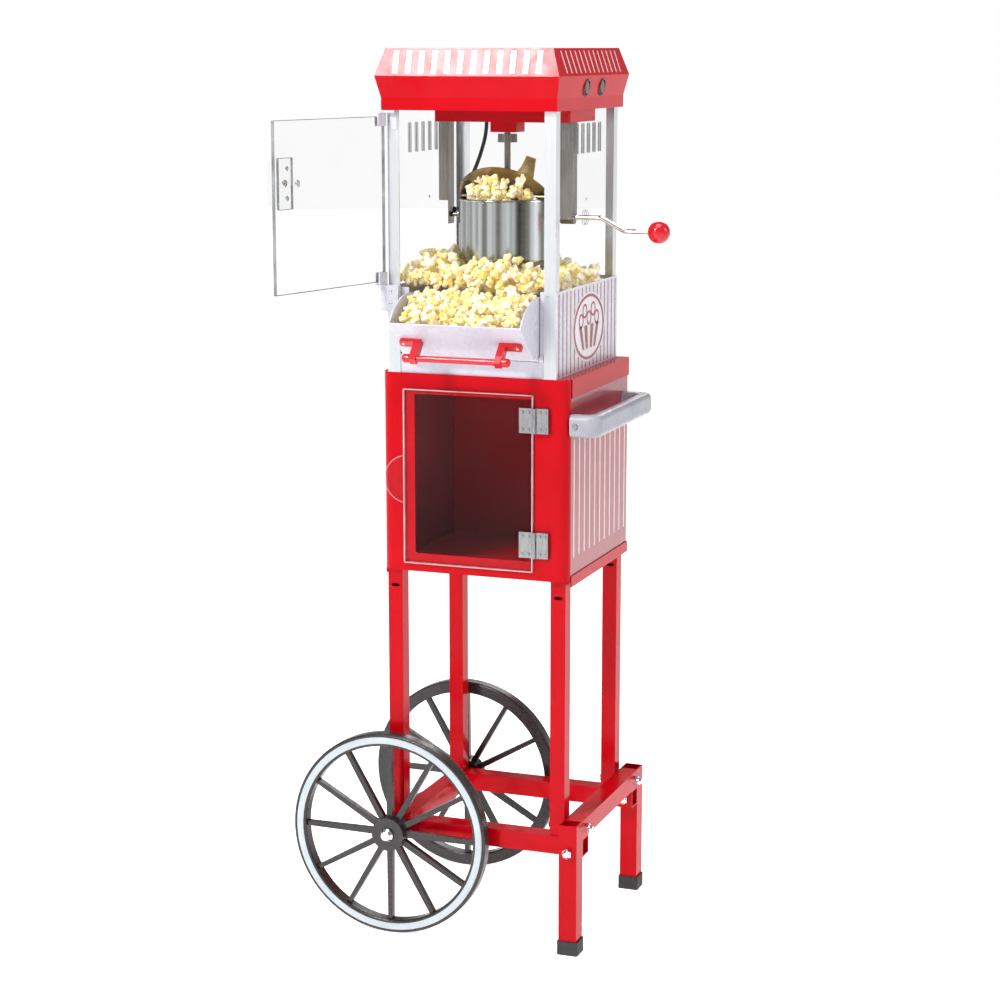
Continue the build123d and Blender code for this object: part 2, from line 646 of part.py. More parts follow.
# ---------------------------------------------------------------- stirring drive and lamp
housing_x, housing_y, housing_bottom = (-77.0, 104.0), (-60.0, 44.0), 1052.0
gear_half, gear_bottom = 17.5, 1038.0
with BuildPart() as motor_housing:
    centre = ((housing_x[0] + housing_x[1]) / 2, (housing_y[0] + housing_y[1]) / 2)
    width, depth = housing_x[1] - housing_x[0], housing_y[1] - housing_y[0]
    with BuildSketch(Plane((*centre, housing_bottom))):
        RectangleRounded(width, depth, 4)
    extrude(amount=ceiling_z - housing_bottom)
    with BuildSketch(Plane((*centre, housing_bottom + post_wall))):
        RectangleRounded(width - 2 * post_wall, depth - 2 * post_wall, 2.5)
    extrude(amount=ceiling_z - housing_bottom, mode=Mode.SUBTRACT)
    with BuildSketch(Plane.XY.offset(housing_bottom)):
        Circle(8)
    extrude(amount=post_wall, mode=Mode.SUBTRACT)
motor_housing.part.label = "motor_housing"
export_step(motor_housing.part, "parts/motor_housing.step")

bearing_depth = 8.0
with BuildPart() as gear_box:
    with BuildSketch(Plane.XY.offset(gear_bottom)):
        RectangleRounded(2 * gear_half, 2 * gear_half, 2)
    extrude(amount=housing_bottom - gear_bottom)
    with BuildSketch(Plane.XY.offset(gear_bottom)):
        Circle(stir_radius + running_gap)
    extrude(amount=bearing_depth + 0.5, mode=Mode.SUBTRACT)
gear_box.part.label = "gear_box"
export_step(gear_box.part, "parts/gear_box.step")

with BuildPart() as stir_motor:
    with BuildSketch(Plane.XY.offset(housing_bottom)):
        Circle(8)
    extrude(amount=ceiling_z + post_wall - housing_bottom)
    with BuildSketch(Plane.XY.offset(ceiling_z + post_wall)):
        Circle(24)
    extrude(amount=34)
stir_motor.part.label = "stir_motor"
export_step(stir_motor.part, "parts/stir_motor.step")

lamp_x, lamp_y = 55.0, 78.0
with BuildPart() as lamp:
    with BuildSketch(Plane((lamp_x, lamp_y, ceiling_z))):
        Circle(10)
    extrude(amount=-9)
    with Locations((lamp_x, lamp_y, ceiling_z - 20)):
        Sphere(13)
lamp.part.label = "lamp"
export_step(lamp.part, "parts/lamp.step")

nut_bottom, nut_top, nut_radius = 1025.0, 1035.4, 12.5
with BuildPart() as stirrer:
    with BuildSketch(Plane.XY.offset(888)):
        Circle(stir_radius)
    extrude(amount=gear_bottom + bearing_depth - 888)
    with BuildSketch(Plane.XY.offset(890)):
        SlotOverall(44, 3)
    extrude(amount=14)
    with BuildSketch(Plane.XY.offset(nut_bottom)):
        Circle(nut_radius)
        with PolarLocations(nut_radius + 0.6, 18):
            Circle(1.3, mode=Mode.SUBTRACT)
    extrude(amount=nut_top - nut_bottom)
stirrer.part.label = "stirrer"
export_step(stirrer.part, "parts/stirrer.step")

# ---------------------------------------------------------------- kettle
# Two channels hang from the ceiling. The left one has a long inner flange with the pivot
# bore, the right one ends in a bush for the handle's rod.
left_channel, right_channel = (-91.0, -hanger_inner_x), (73.5, 91.0)
channel_half_y, channel_bottom, flange_bottom = 9.0, 950.0, 920.0
with BuildPart() as kettle_hangers:
    for channel, top in ((left_channel, ceiling_z), (right_channel, housing_bottom)):
        channel_width = channel[1] - channel[0]
        with BuildSketch(Plane(((channel[0] + channel[1]) / 2, 0, channel_bottom))):
            Rectangle(channel_width, 2 * channel_half_y)
            with Locations((0, post_wall)):
                Rectangle(channel_width - 2 * post_wall, 2 * channel_half_y, mode=Mode.SUBTRACT)
        extrude(amount=top - channel_bottom)
    with BuildSketch(Plane((-hanger_inner_x - post_wall / 2, 0, flange_bottom))):
        Rectangle(post_wall, 2 * channel_half_y)
    extrude(amount=channel_bottom - flange_bottom)
    with BuildSketch(Plane.YZ.offset(-hanger_inner_x)):
        with Locations((0, pivot_z)):
            Circle(rod_radius + running_gap)
    extrude(amount=-post_wall, mode=Mode.SUBTRACT)
    with BuildSketch(Plane.YZ.offset(right_channel[0])):
        with Locations((0, pivot_z + channel_half_y)):
            Rectangle(2 * channel_half_y, 2 * channel_half_y)
        with Locations((0, pivot_z)):
            Circle(channel_half_y)
            Circle(rod_radius + running_gap, mode=Mode.SUBTRACT)
    extrude(amount=right_channel[1] - right_channel[0])
kettle_hangers.part.label = "kettle_hangers"
export_step(kettle_hangers.part, "parts/kettle_hangers.step")

boss_start, boss_radius = 61.4, 8.0
with BuildPart() as kettle_pot:
    with BuildSketch(Plane.XY.offset(kettle_bottom)):
        Circle(kettle_radius)
    extrude(amount=kettle_rim - kettle_bottom)
    fillet(kettle_pot.faces().sort_by(Axis.Z)[0].edges(), 4)
    with BuildSketch(Plane.XY.offset(kettle_bottom + kettle_floor)):
        Circle(kettle_radius - kettle_wall)
    extrude(amount=kettle_rim, mode=Mode.SUBTRACT)
    with BuildSketch(Plane.XZ):
        with Locations((kettle_radius, kettle_rim - 1.6)):
            Circle(1.6)
    revolve(axis=Axis.Z)
    for side in (-1, 1):
        with BuildSketch(Plane((side * boss_start, 0, pivot_z), z_dir=(side, 0, 0))):
            Circle(boss_radius)
        extrude(amount=boss_x - boss_start)
    with BuildSketch(Plane((-boss_x, 0, pivot_z), z_dir=(-1, 0, 0))):
        Circle(rod_radius)
    extrude(amount=hanger_inner_x + 3 - boss_x)
kettle_pot.part.label = "kettle_pot"
export_step(kettle_pot.part, "parts/kettle_pot.step")

with BuildPart() as heater_base:
    with BuildSketch(Plane.XY.offset(kettle_bottom)):
        Circle(kettle_radius - 7.5)
    extrude(amount=-8)
    chamfer(heater_base.faces().sort_by(Axis.Z)[0].edges(), 2)
heater_base.part.label = "heater_base"
export_step(heater_base.part, "parts/heater_base.step")

ball_x, ball_radius = 202.6, 14.25
rod_end = ball_x - 4
with BuildPart() as kettle_handle:
    with BuildLine() as rod_path:
        FilletPolyline(
            (boss_x, 0, pivot_z), (126, 0, pivot_z), (157, 0, 916), (rod_end, 0, 915.5), radius=14,
        )
    with BuildSketch(Plane.YZ.offset(boss_x)):
        with Locations((0, pivot_z)):
            Circle(rod_radius)
    sweep(path=rod_path.line)
kettle_handle.part.label = "kettle_handle"
export_step(kettle_handle.part, "parts/kettle_handle.step")

rod_end_direction = kettle_handle.faces().sort_by(Axis.X)[-1].normal_at()
with BuildPart() as handle_ball:
    with Locations((ball_x, 0, 915.5)):
        Sphere(ball_radius)
    with BuildSketch(Plane((rod_end, 0, 915.5), z_dir=rod_end_direction)):
        Circle(rod_radius)
    extrude(amount=-ball_radius, mode=Mode.SUBTRACT)
handle_ball.part.label = "handle_ball"
export_step(handle_ball.part, "parts/handle_ball.step")

# Lid: the rear half is fixed, with a slot for the stirring rod and two ears for the pin
lid_radius, lid_edge_y = 62.0, -4.6
ear_x, ear_width, knuckle_reach = 29.0, 3.0, 28.0
lid_pin_radius, lid_knuckle_radius = 1.2, 2.6
with BuildPart() as kettle_lid:
    with BuildSketch(Plane.XY.offset(kettle_rim)):
        Circle(lid_radius)
        with Locations((0, lid_edge_y - lid_radius)):
            Rectangle(2 * lid_radius, 2 * lid_radius, mode=Mode.SUBTRACT)
        with Locations((0, 52 - 50)):
            SlotOverall(100, 2 * stir_radius + 2.4, rotation=90, mode=Mode.SUBTRACT)
    extrude(amount=1.4)
    for side in (-1, 1):
        with BuildSketch(Plane.YZ.offset(side * (ear_x + ear_width / 2))):
            with Locations(flap_hinge):
                Circle(lid_knuckle_radius)
            Polygon(
                (lid_edge_y, kettle_rim), (lid_edge_y + 6, kettle_rim), (lid_edge_y + 6, kettle_rim + 1.4),
                (flap_hinge[0] + 1, flap_hinge[1] + 2.4), (flap_hinge[0] - 1, kettle_rim + 1.2),
                align=None,
            )
        extrude(amount=ear_width / 2, both=True)
    with BuildSketch(Plane.YZ.offset(-ear_x)):
        with Locations(flap_hinge):
            Circle(lid_pin_radius)
    extrude(amount=2 * ear_x)
kettle_lid.part.label = "kettle_lid"
export_step(kettle_lid.part, "parts/kettle_lid.step")

# The flap's plane runs from the hinge up the open flap, its Z pointing to the flap's underside.
flap_rise = radians(flap_angle)
flap_plane = Plane((0, *flap_hinge), x_dir=(1, 0, 0), z_dir=(0, -sin(flap_rise), -cos(flap_rise)))
flap_start = lid_knuckle_radius + 0.7
with BuildPart() as lid_flap:
    with BuildSketch(flap_plane.offset(flap_underside - flap_thickness)):
        with Locations((0, flap_hinge[0])):
            Circle(lid_radius)
        Polygon((26, 44), (46, 32), (60, 72), (49, 78), (37, 58), align=None)
        with Locations((0, flap_start - lid_radius)):
            Rectangle(2.2 * lid_radius, 2 * lid_radius, mode=Mode.SUBTRACT)
        with Locations((-18, flap_start / 2 + 0.5), (18, flap_start / 2 + 0.5)):
            Rectangle(20, flap_start + 1)
    extrude(amount=flap_thickness)
    for start in (-knuckle_reach, 8):
        with BuildSketch(Plane.YZ.offset(start)):
            with Locations(flap_hinge):
                Circle(lid_knuckle_radius)
        extrude(amount=20)
    with BuildSketch(Plane.YZ.offset(-knuckle_reach)):
        with Locations(flap_hinge):
            Circle(lid_pin_radius + running_gap)
    extrude(amount=2 * knuckle_reach, mode=Mode.SUBTRACT)
lid_flap.part.label = "lid_flap"
export_step(lid_flap.part, "parts/lid_flap.step")

# Cable of the kettle's heater, from a grommet in the ceiling to a gland on the left hanger
cable_radius = 2.5
cable_route = (
    (-55.0, 70.0, 1069.0),
    (-55.0, 70.0, 1034.0),
    (-65.0, 68.0, 999.0),
    (-76.5, 57.0, 966.0),
    (-77.75, 40.0, 937.0),
    (-77.75, 12.0, 937.0),
)
cable_points = [Vector(*point) for point in cable_route]
cable_radii = []
for before, corner, after in zip(cable_points, cable_points[1:], cable_points[2:]):
    turn = (corner - before).get_angle(after - corner)
    shorter_run = min((corner - before).length, (after - corner).length)
    cable_radii.append(0.45 * shorter_run / tan(radians(turn / 2)))
print("kettle cable radii:", [round(radius, 1) for radius in cable_radii])
with BuildPart() as kettle_cable:
    with BuildLine() as cable_path:
        FilletPolyline(*cable_route, radius=cable_radii)
    with BuildSketch(Plane(cable_points[0], z_dir=cable_points[1] - cable_points[0])):
        Circle(cable_radius)
    sweep(path=cable_path.line)
kettle_cable.part.label = "kettle_cable"
export_step(kettle_cable.part, "parts/kettle_cable.step")
cable_length = cable_path.wires()[0].length
tube_volume = pi * cable_radius ** 2 * cable_length
print("kettle cable length:", round(cable_length, 1))
print("kettle cable volume over section times length:", round(kettle_cable.part.volume / tube_volume, 4))

power_inlet = (-60.0, 1075.2)             # x, z on the back of the canopy
with BuildPart() as cable_glands:
    with BuildSketch(Plane.XZ.offset(-cable_route[-1][1])):
        with Locations((cable_route[-1][0], cable_route[-1][2])):
            Circle(4)
    extrude(amount=cable_route[-1][1] - channel_half_y)
    with BuildSketch(Plane.XZ.offset(-canopy_levels[0][1])):
        with Locations(power_inlet):
            Circle(6.5)
    extrude(amount=-6, taper=8)
cable_glands.part.label = "cable_glands"
export_step(cable_glands.part, "parts/cable_glands.step")

# ---------------------------------------------------------------- popper door
door_angle = radians(-popper_open)
door_x_dir = (cos(door_angle), sin(door_angle), 0)
door_normal = (sin(door_angle), -cos(door_angle), 0)
# Local x runs along the door from its hinge, local y is up, Z is the door's outer side.
door_plane = Plane((*popper_hinge, 0), x_dir=door_x_dir, z_dir=door_normal)
half_door = popper_thickness / 2
door_middle_z = (popper_bottom + popper_top) / 2
latch_u, latch_z = 190.0, 986.0

with BuildPart() as popper_door:
    with BuildSketch(door_plane.offset(-half_door)):
        with Locations((popper_width / 2, door_middle_z)):
            RectangleRounded(popper_width, popper_top - popper_bottom, 2)
    extrude(amount=popper_thickness)
popper_door.part.label = "popper_door"
export_step(popper_door.part, "parts/popper_door.step")

fitting_height, cheek_height, fitting_half, fitting_width = 4.0, 12.0, 4.0, 15.0
with BuildPart() as popper_door_fittings:
    for low in (popper_bottom - fitting_height, popper_top - cheek_height):
        with BuildSketch(Plane((*popper_hinge, low), x_dir=door_x_dir, z_dir=(0, 0, 1))):
            Circle(fitting_half)
            with Locations((fitting_width / 2, 0)):
                Rectangle(fitting_width, 2 * fitting_half)
        extrude(amount=cheek_height + fitting_height)
    with BuildSketch(door_plane.offset(-half_door)):
        with Locations((popper_width / 2 - 10, door_middle_z)):
            Rectangle(popper_width + 20, popper_top - popper_bottom)
    extrude(amount=popper_thickness, mode=Mode.SUBTRACT)
    with BuildSketch(Plane((*popper_hinge, popper_bottom - fitting_height))):
        Circle(popper_pin_radius + running_gap)
    extrude(amount=popper_top - popper_bottom + 2 * fitting_height, mode=Mode.SUBTRACT)
popper_door_fittings.part.label = "popper_door_fittings"
export_step(popper_door_fittings.part, "parts/popper_door_fittings.step")

pull_plate = (192.0, 985.5, 28.0, 63.0)          # local x and z of its middle, width, height
with BuildPart() as popper_door_pull:
    with BuildSketch(door_plane.offset(half_door)):
        with Locations(pull_plate[:2]):
            RectangleRounded(pull_plate[2], pull_plate[3], 3)
    extrude(amount=3)
    with BuildSketch(door_plane.offset(half_door + 3)):
        with Locations((pull_plate[0] + 8, pull_plate[1])):
            Rectangle(3, 51)
    extrude(amount=17)
    with BuildSketch(door_plane.offset(-half_door)):
        with Locations((latch_u, latch_z)):
            Circle(5)
    extrude(amount=-12)
popper_door_pull.part.label = "popper_door_pull"
export_step(popper_door_pull.part, "parts/popper_door_pull.step")

bracket_top = popper_bottom - fitting_height - 0.4
upper_plate_z = popper_top + fitting_height + 0.4
with BuildPart() as popper_door_brackets:
    with BuildSketch(Plane((popper_hinge[0] + 8, -case_half_y - 5, 818))):
        Rectangle(24, 10)
    extrude(amount=bracket_top - 818)
    with BuildSketch(Plane((*popper_hinge, bracket_top))):
        Circle(popper_pin_radius)
    extrude(amount=fitting_height)
    with BuildSketch(Plane((popper_hinge[0] + 6, -case_half_y - 5, upper_plate_z))):
        Rectangle(21, 10)
    extrude(amount=canopy_levels[0][2] - 0.2 - upper_plate_z)
    with BuildSketch(Plane((popper_hinge[0] + 12, -case_half_y - 0.75, 1044))):
        Rectangle(9, 1.5)
    extrude(amount=upper_plate_z - 1044)
    with BuildSketch(Plane((*popper_hinge, upper_plate_z))):
        Circle(popper_pin_radius)
    extrude(amount=-fitting_height)
popper_door_brackets.part.label = "popper_door_brackets"
export_step(popper_door_brackets.part, "parts/popper_door_brackets.step")

# ---------------------------------------------------------------- tray
with BuildPart() as tray:
    with BuildSketch(Plane.YZ.offset(-tray_half_width)):
        with BuildLine():
            Polyline(tray_lip, tray_heel, tray_pivot, tray_back)
        trace(line_width=tray_sheet)
        with Locations(tray_pivot):
            Circle(tray_rod_radius + 1.8)
    extrude(amount=2 * tray_half_width)
    for side in (-1, 1):
        with BuildSketch(Plane.YZ.offset(side * (tray_half_width - tray_sheet / 2))):
            with BuildLine():
                Polyline(tray_back, tray_pivot, tray_heel, tray_lip)
                ThreePointArc(tray_lip, tray_crest, tray_back)
            make_face()
        extrude(amount=tray_sheet / 2, both=True)
    with BuildSketch(Plane.YZ.offset(-tray_half_width)):
        with Locations(tray_pivot):
            Circle(tray_rod_radius + running_gap)
    extrude(amount=2 * tray_half_width, mode=Mode.SUBTRACT)
tray.part.label = "tray"
export_step(tray.part, "parts/tray.step")

with BuildPart() as tray_rod:
    with BuildSketch(Plane.YZ.offset(-tray_opening[0] - 5)):
        with Locations(tray_pivot):
            Circle(tray_rod_radius)
    extrude(amount=2 * tray_opening[0] + 10)
tray_rod.part.label = "tray_rod"
export_step(tray_rod.part, "parts/tray_rod.step")

# The tray's front: local y runs up it from the heel, Z points out of the tray.
front_rise = (tray_lip[0] - tray_heel[0], tray_lip[1] - tray_heel[1])
front_length = hypot(*front_rise)
up_y, up_z = front_rise[0] / front_length, front_rise[1] / front_length
tray_front = Plane((0, *tray_heel), x_dir=(1, 0, 0), z_dir=(0, -up_z, up_y))
tray_bar_half, tray_bar_radius = 66.0, 4.0
bar_knob_radius, bar_knob_length, bar_knob_rounding = 5.4, 10.0, 4.0
bar_y = tray_heel[0] + handle_reach * (up_y - up_z)
bar_centre_z = tray_heel[1] + handle_reach * (up_z + up_y)
with BuildPart() as tray_bar:
    with BuildSketch(Plane.YZ.offset(-tray_bar_half)):
        with Locations((bar_y, bar_centre_z)):
            Circle(tray_bar_radius)
    extrude(amount=2 * tray_bar_half)
    for side in (-1, 1):
        knob_start = (side * (tray_bar_half - bar_knob_length / 2), bar_y, bar_centre_z)
        with BuildSketch(Plane(knob_start, z_dir=(side, 0, 0))):
            Circle(bar_knob_radius)
        extrude(amount=bar_knob_length)
    knob_ends = tray_bar.faces().filter_by(Axis.X).group_by(Axis.X)
    fillet(ShapeList(knob_ends[0] + knob_ends[-1]).edges(), bar_knob_rounding)
tray_bar.part.label = "tray_bar"
export_step(tray_bar.part, "parts/tray_bar.step")

mount_outer = tray_sheet / 2
mount_lug_x, mount_lug = 67.5, (26.0, 11.0, 5.0)     # width, height and thickness
mount_leg_x, mount_leg = 56.0, (9.0, 10.5)
mount_past_bar = 5.2
with BuildPart() as tray_bar_mounts:
    for side in (-1, 1):
        with BuildSketch(tray_front.offset(mount_outer)):
            with Locations((side * mount_lug_x, handle_reach)):
                RectangleRounded(mount_lug[0], mount_lug[1], 3)
        extrude(amount=mount_lug[2])
        with BuildSketch(tray_front.offset(mount_outer)):
            with Locations((side * mount_leg_x, handle_reach)):
                Rectangle(*mount_leg)
        extrude(amount=handle_reach - mount_outer + mount_past_bar)
    with BuildSketch(Plane.YZ.offset(-tray_bar_half)):
        with Locations((bar_y, bar_centre_z)):
            Circle(tray_bar_radius)
    extrude(amount=2 * tray_bar_half, mode=Mode.SUBTRACT)
tray_bar_mounts.part.label = "tray_bar_mounts"
export_step(tray_bar_mounts.part, "parts/tray_bar_mounts.step")

# ---------------------------------------------------------------- screws of the standing parts
with BuildPart() as body_screws:
    with BuildSketch(Plane.XZ.offset(-leaf_face_y)):
        with Locations(*fixed_screw_xz):
            Circle(2.4)
    extrude(amount=1.3, taper=25)
    with BuildSketch(Plane.XZ.offset(-leaf_face_y)):
        with Locations(*fixed_screw_xz):
            Circle(hinge_screw_radius)
    extrude(amount=-screw_depth)
    for side in (-1, 1):
        with BuildSketch(Plane.XZ.offset(-side * handle_half_y)):
            with Locations((handle_screw_x, handle_middle_z)):
                Circle(4)
        extrude(amount=-side * 2, taper=25)
        with BuildSketch(Plane.XZ.offset(-side * handle_half_y)):
            with Locations((handle_screw_x, handle_middle_z)):
                Circle(1.9)
        extrude(amount=side * 12)
body_screws.part.label = "body_screws"
export_step(body_screws.part, "parts/body_screws.step")
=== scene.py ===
"""Looks of the popcorn cart: materials, popcorn, stripes, badges, edges, floor, light and camera.

Everything is in metres in the frame of the CAD model. The front faces -Y, +Z is up.
"""
import json
import math

import bmesh
import bpy
import numpy as np
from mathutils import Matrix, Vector


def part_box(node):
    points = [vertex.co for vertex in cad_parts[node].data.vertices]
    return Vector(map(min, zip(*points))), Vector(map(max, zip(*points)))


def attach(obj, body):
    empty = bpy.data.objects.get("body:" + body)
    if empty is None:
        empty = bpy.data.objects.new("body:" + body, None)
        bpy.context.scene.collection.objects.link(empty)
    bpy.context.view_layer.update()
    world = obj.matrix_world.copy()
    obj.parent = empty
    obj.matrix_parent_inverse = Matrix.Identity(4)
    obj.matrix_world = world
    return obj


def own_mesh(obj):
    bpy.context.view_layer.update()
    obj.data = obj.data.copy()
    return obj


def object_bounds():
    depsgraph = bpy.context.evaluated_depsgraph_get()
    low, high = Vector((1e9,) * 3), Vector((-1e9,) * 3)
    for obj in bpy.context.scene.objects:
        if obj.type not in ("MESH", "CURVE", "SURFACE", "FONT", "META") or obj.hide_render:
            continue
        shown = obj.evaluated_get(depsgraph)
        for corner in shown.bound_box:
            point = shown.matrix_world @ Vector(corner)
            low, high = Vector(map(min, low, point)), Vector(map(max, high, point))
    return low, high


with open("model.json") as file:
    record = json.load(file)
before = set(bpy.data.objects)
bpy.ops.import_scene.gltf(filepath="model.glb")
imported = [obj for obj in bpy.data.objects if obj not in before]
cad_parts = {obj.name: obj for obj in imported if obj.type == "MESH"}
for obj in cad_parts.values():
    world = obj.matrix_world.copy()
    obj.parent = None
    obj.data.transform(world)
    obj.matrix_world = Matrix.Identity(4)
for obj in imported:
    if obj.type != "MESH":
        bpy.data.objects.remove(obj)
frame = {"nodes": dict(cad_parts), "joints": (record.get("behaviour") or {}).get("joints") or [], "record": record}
cad_bounds = [list(corner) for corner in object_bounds()]
nodes = frame["nodes"]
joints = {joint["name"]: joint for joint in frame["joints"]}
scene = bpy.context.scene
scene.view_settings.view_transform = "Standard"
MM = 0.001


# ---------------------------------------------------------------- camera, floor and light
def add_camera():
    """A long lens from the right of the front, at the height of the cart's top."""
    data = bpy.data.cameras.new("camera")
    data.sensor_width = 36.0
    data.lens = 85.02
    camera = bpy.data.objects.new("camera", data)
    scene.collection.objects.link(camera)
    camera.location = (1.05561, -2.85621, 1.14544)
    target = Vector((-0.01027, 0.0, 0.55931))
    camera.rotation_euler = (target - camera.location).to_track_quat("-Z", "Y").to_euler()
    scene.camera = camera


def add_area_light(name, place, target, size, power):
    """A soft box of that width and height, in metres, aimed at a point."""
    data = bpy.data.lights.new(name, "AREA")
    data.shape = "RECTANGLE"
    data.size, data.size_y = size
    data.energy = power
    light = bpy.data.objects.new(name, data)
    scene.collection.objects.link(light)
    light.location = place
    aim = Vector(target) - Vector(place)
    light.rotation_euler = aim.to_track_quat("-Z", "Y").to_euler()


def add_studio():
    """A pale floor, a world that is white near the horizon and dimmer above, and soft boxes."""
    world = bpy.data.worlds.new("studio")
    world.use_nodes = True
    tree = world.node_tree
    background = tree.nodes["Background"]
    background.inputs["Color"].default_value = (1.0, 1.0, 1.0, 1.0)
    direction = tree.nodes.new("ShaderNodeTexCoord")
    parts = tree.nodes.new("ShaderNodeSeparateXYZ")
    tree.links.new(direction.outputs["Generated"], parts.inputs["Vector"])
    strength = remap(tree, parts.outputs["Z"], 1.0, 0.3, 0.03, 0.14)
    tree.links.new(strength, background.inputs["Strength"])
    scene.world = world
    bm = bmesh.new()
    bmesh.ops.create_circle(bm, cap_ends=True, segments=96, radius=14.0)
    mesh = bpy.data.meshes.new("floor")
    bm.to_mesh(mesh)
    bm.free()
    floor = bpy.data.objects.new("floor", mesh)
    scene.collection.objects.link(floor)
    material, shader, tree = new_material("pale_floor", (0.93, 0.93, 0.935), 0.6)
    shader.inputs["Emission Color"].default_value = (1.0, 1.0, 1.0, 1.0)
    shader.inputs["Emission Strength"].default_value = 0.8
    mesh.materials.append(material)
    add_area_light("key", (-0.80, -1.86, 2.23), (0.0, -0.13, 1.12), (0.45, 0.30), 40.0)
    add_area_light("front", (-1.5, -3.2, 2.1), (0.0, 0.0, 0.6), (1.4, 1.2), 18.0)
    add_area_light("top", (0.0, -0.4, 2.9), (0.0, 0.0, 0.9), (1.8, 1.6), 34.0)
    add_area_light("right", (2.6, 0.2, 2.0), (0.0, 0.0, 0.6), (1.2, 1.2), 16.0)
    add_area_light("back", (-0.6, 3.0, 2.2), (0.0, 0.0, 0.6), (1.6, 1.2), 24.0)


# ---------------------------------------------------------------- materials
def new_material(name, colour, roughness, metallic=0.0):
    """A Principled material; returns it with its shader and its node tree."""
    material = bpy.data.materials.new(name)
    material.use_nodes = True
    shader = material.node_tree.nodes["Principled BSDF"]
    shader.inputs["Base Color"].default_value = (*colour, 1.0)
    shader.inputs["Roughness"].default_value = roughness
    shader.inputs["Metallic"].default_value = metallic
    return material, shader, material.node_tree


def object_coordinates(tree, scale=(1.0, 1.0, 1.0)):
    """The object's own coordinates in metres, scaled on each axis."""
    coordinates = tree.nodes.new("ShaderNodeTexCoord")
    mapping = tree.nodes.new("ShaderNodeMapping")
    mapping.inputs["Scale"].default_value = scale
    tree.links.new(coordinates.outputs["Object"], mapping.inputs["Vector"])
    return mapping.outputs["Vector"]


def noise(tree, vector, scale, detail=3.0, roughness=0.55):
    """A noise texture's value over that vector."""
    texture = tree.nodes.new("ShaderNodeTexNoise")
    texture.inputs["Scale"].default_value = scale
    texture.inputs["Detail"].default_value = detail
    texture.inputs["Roughness"].default_value = roughness
    tree.links.new(vector, texture.inputs["Vector"])
    return texture.outputs["Fac"]


def remap(tree, value, low, high, start=0.35, end=0.65):
    """value, spread from start..end to low..high."""
    node = tree.nodes.new("ShaderNodeMapRange")
    node.inputs["From Min"].default_value = start
    node.inputs["From Max"].default_value = end
    node.inputs["To Min"].default_value = low
    node.inputs["To Max"].default_value = high
    tree.links.new(value, node.inputs["Value"])
    return node.outputs["Result"]


def blend_colours(tree, factor, first, second):
    """A colour between two, each a tuple or another node's output."""
    mix = tree.nodes.new("ShaderNodeMix")
    mix.data_type = "RGBA"
    for socket, colour in ((mix.inputs[6], first), (mix.inputs[7], second)):
        if isinstance(colour, tuple):
            socket.default_value = (*colour, 1.0)
        else:
            tree.links.new(colour, socket)
    tree.links.new(factor, mix.inputs[0])
    return mix.outputs[2]


def add_bump(tree, shader, height, strength, distance):
    """Bump from a height value; distance is in metres."""
    bump = tree.nodes.new("ShaderNodeBump")
    bump.inputs["Strength"].default_value = strength
    bump.inputs["Distance"].default_value = distance
    tree.links.new(height, bump.inputs["Height"])
    tree.links.new(bump.outputs["Normal"], shader.inputs["Normal"])


def painted(name, colour, shade, roughness=(0.10, 0.2), peel=0.05, **sockets):
    """Glossy powder coat: slow colour drift, uneven gloss and a fine orange peel."""
    material, shader, tree = new_material(name, colour, roughness[0])
    place = object_coordinates(tree)
    drift = remap(tree, noise(tree, place, 9.0), 0.0, 1.0)
    tree.links.new(blend_colours(tree, drift, colour, shade), shader.inputs["Base Color"])
    gloss = remap(tree, noise(tree, place, 60.0, 4.0), *roughness)
    tree.links.new(gloss, shader.inputs["Roughness"])
    add_bump(tree, shader, noise(tree, place, 900.0, 2.0), peel, 0.00006)
    for socket, value in sockets.items():
        shader.inputs[socket.replace("_", " ")].default_value = value
    return material


def metal(name, colour, shade, roughness, stretch=(1.0, 1.0, 1.0), grain=420.0, strength=0.12, **sockets):
    """Metal with a grain: stretch is small along the grain's direction."""
    material, shader, tree = new_material(name, colour, roughness[0], 1.0)
    place = object_coordinates(tree, stretch)
    lines = noise(tree, place, grain, 5.0, 0.65)
    tone = remap(tree, lines, 0.0, 1.0, 0.3, 0.7)
    tree.links.new(blend_colours(tree, tone, colour, shade), shader.inputs["Base Color"])
    tree.links.new(remap(tree, lines, *roughness), shader.inputs["Roughness"])
    add_bump(tree, shader, lines, strength, 0.00004)
    for socket, value in sockets.items():
        shader.inputs[socket.replace("_", " ")].default_value = value
    return material


def plastic(name, colour, shade, roughness=(0.25, 0.4), texture=500.0, strength=0.1, **sockets):
    """Moulded plastic: a fine skin texture and slightly uneven gloss."""
    material, shader, tree = new_material(name, colour, roughness[0])
    place = object_coordinates(tree)
    drift = remap(tree, noise(tree, place, 25.0), 0.0, 1.0)
    tree.links.new(blend_colours(tree, drift, colour, shade), shader.inputs["Base Color"])
    tree.links.new(remap(tree, noise(tree, place, 120.0, 4.0), *roughness), shader.inputs["Roughness"])
    add_bump(tree, shader, noise(tree, place, texture, 3.0), strength, 0.0001)
    for socket, value in sockets.items():
        shader.inputs[socket.replace("_", " ")].default_value = value
    return material


def acrylic(name, colour, alpha, roughness=0.03):
    """Clear sheet: mostly see-through, with faint smudges in its gloss."""
    material, shader, tree = new_material(name, colour, roughness)
    place = object_coordinates(tree)
    smudge = noise(tree, place, 14.0, 4.0)
    tree.links.new(remap(tree, smudge, roughness, roughness + 0.05), shader.inputs["Roughness"])
    tree.links.new(remap(tree, smudge, alpha * 0.85, alpha * 1.2), shader.inputs["Alpha"])
    shader.inputs["IOR"].default_value = 1.49
    shader.inputs["Specular IOR Level"].default_value = 0.5
    return material


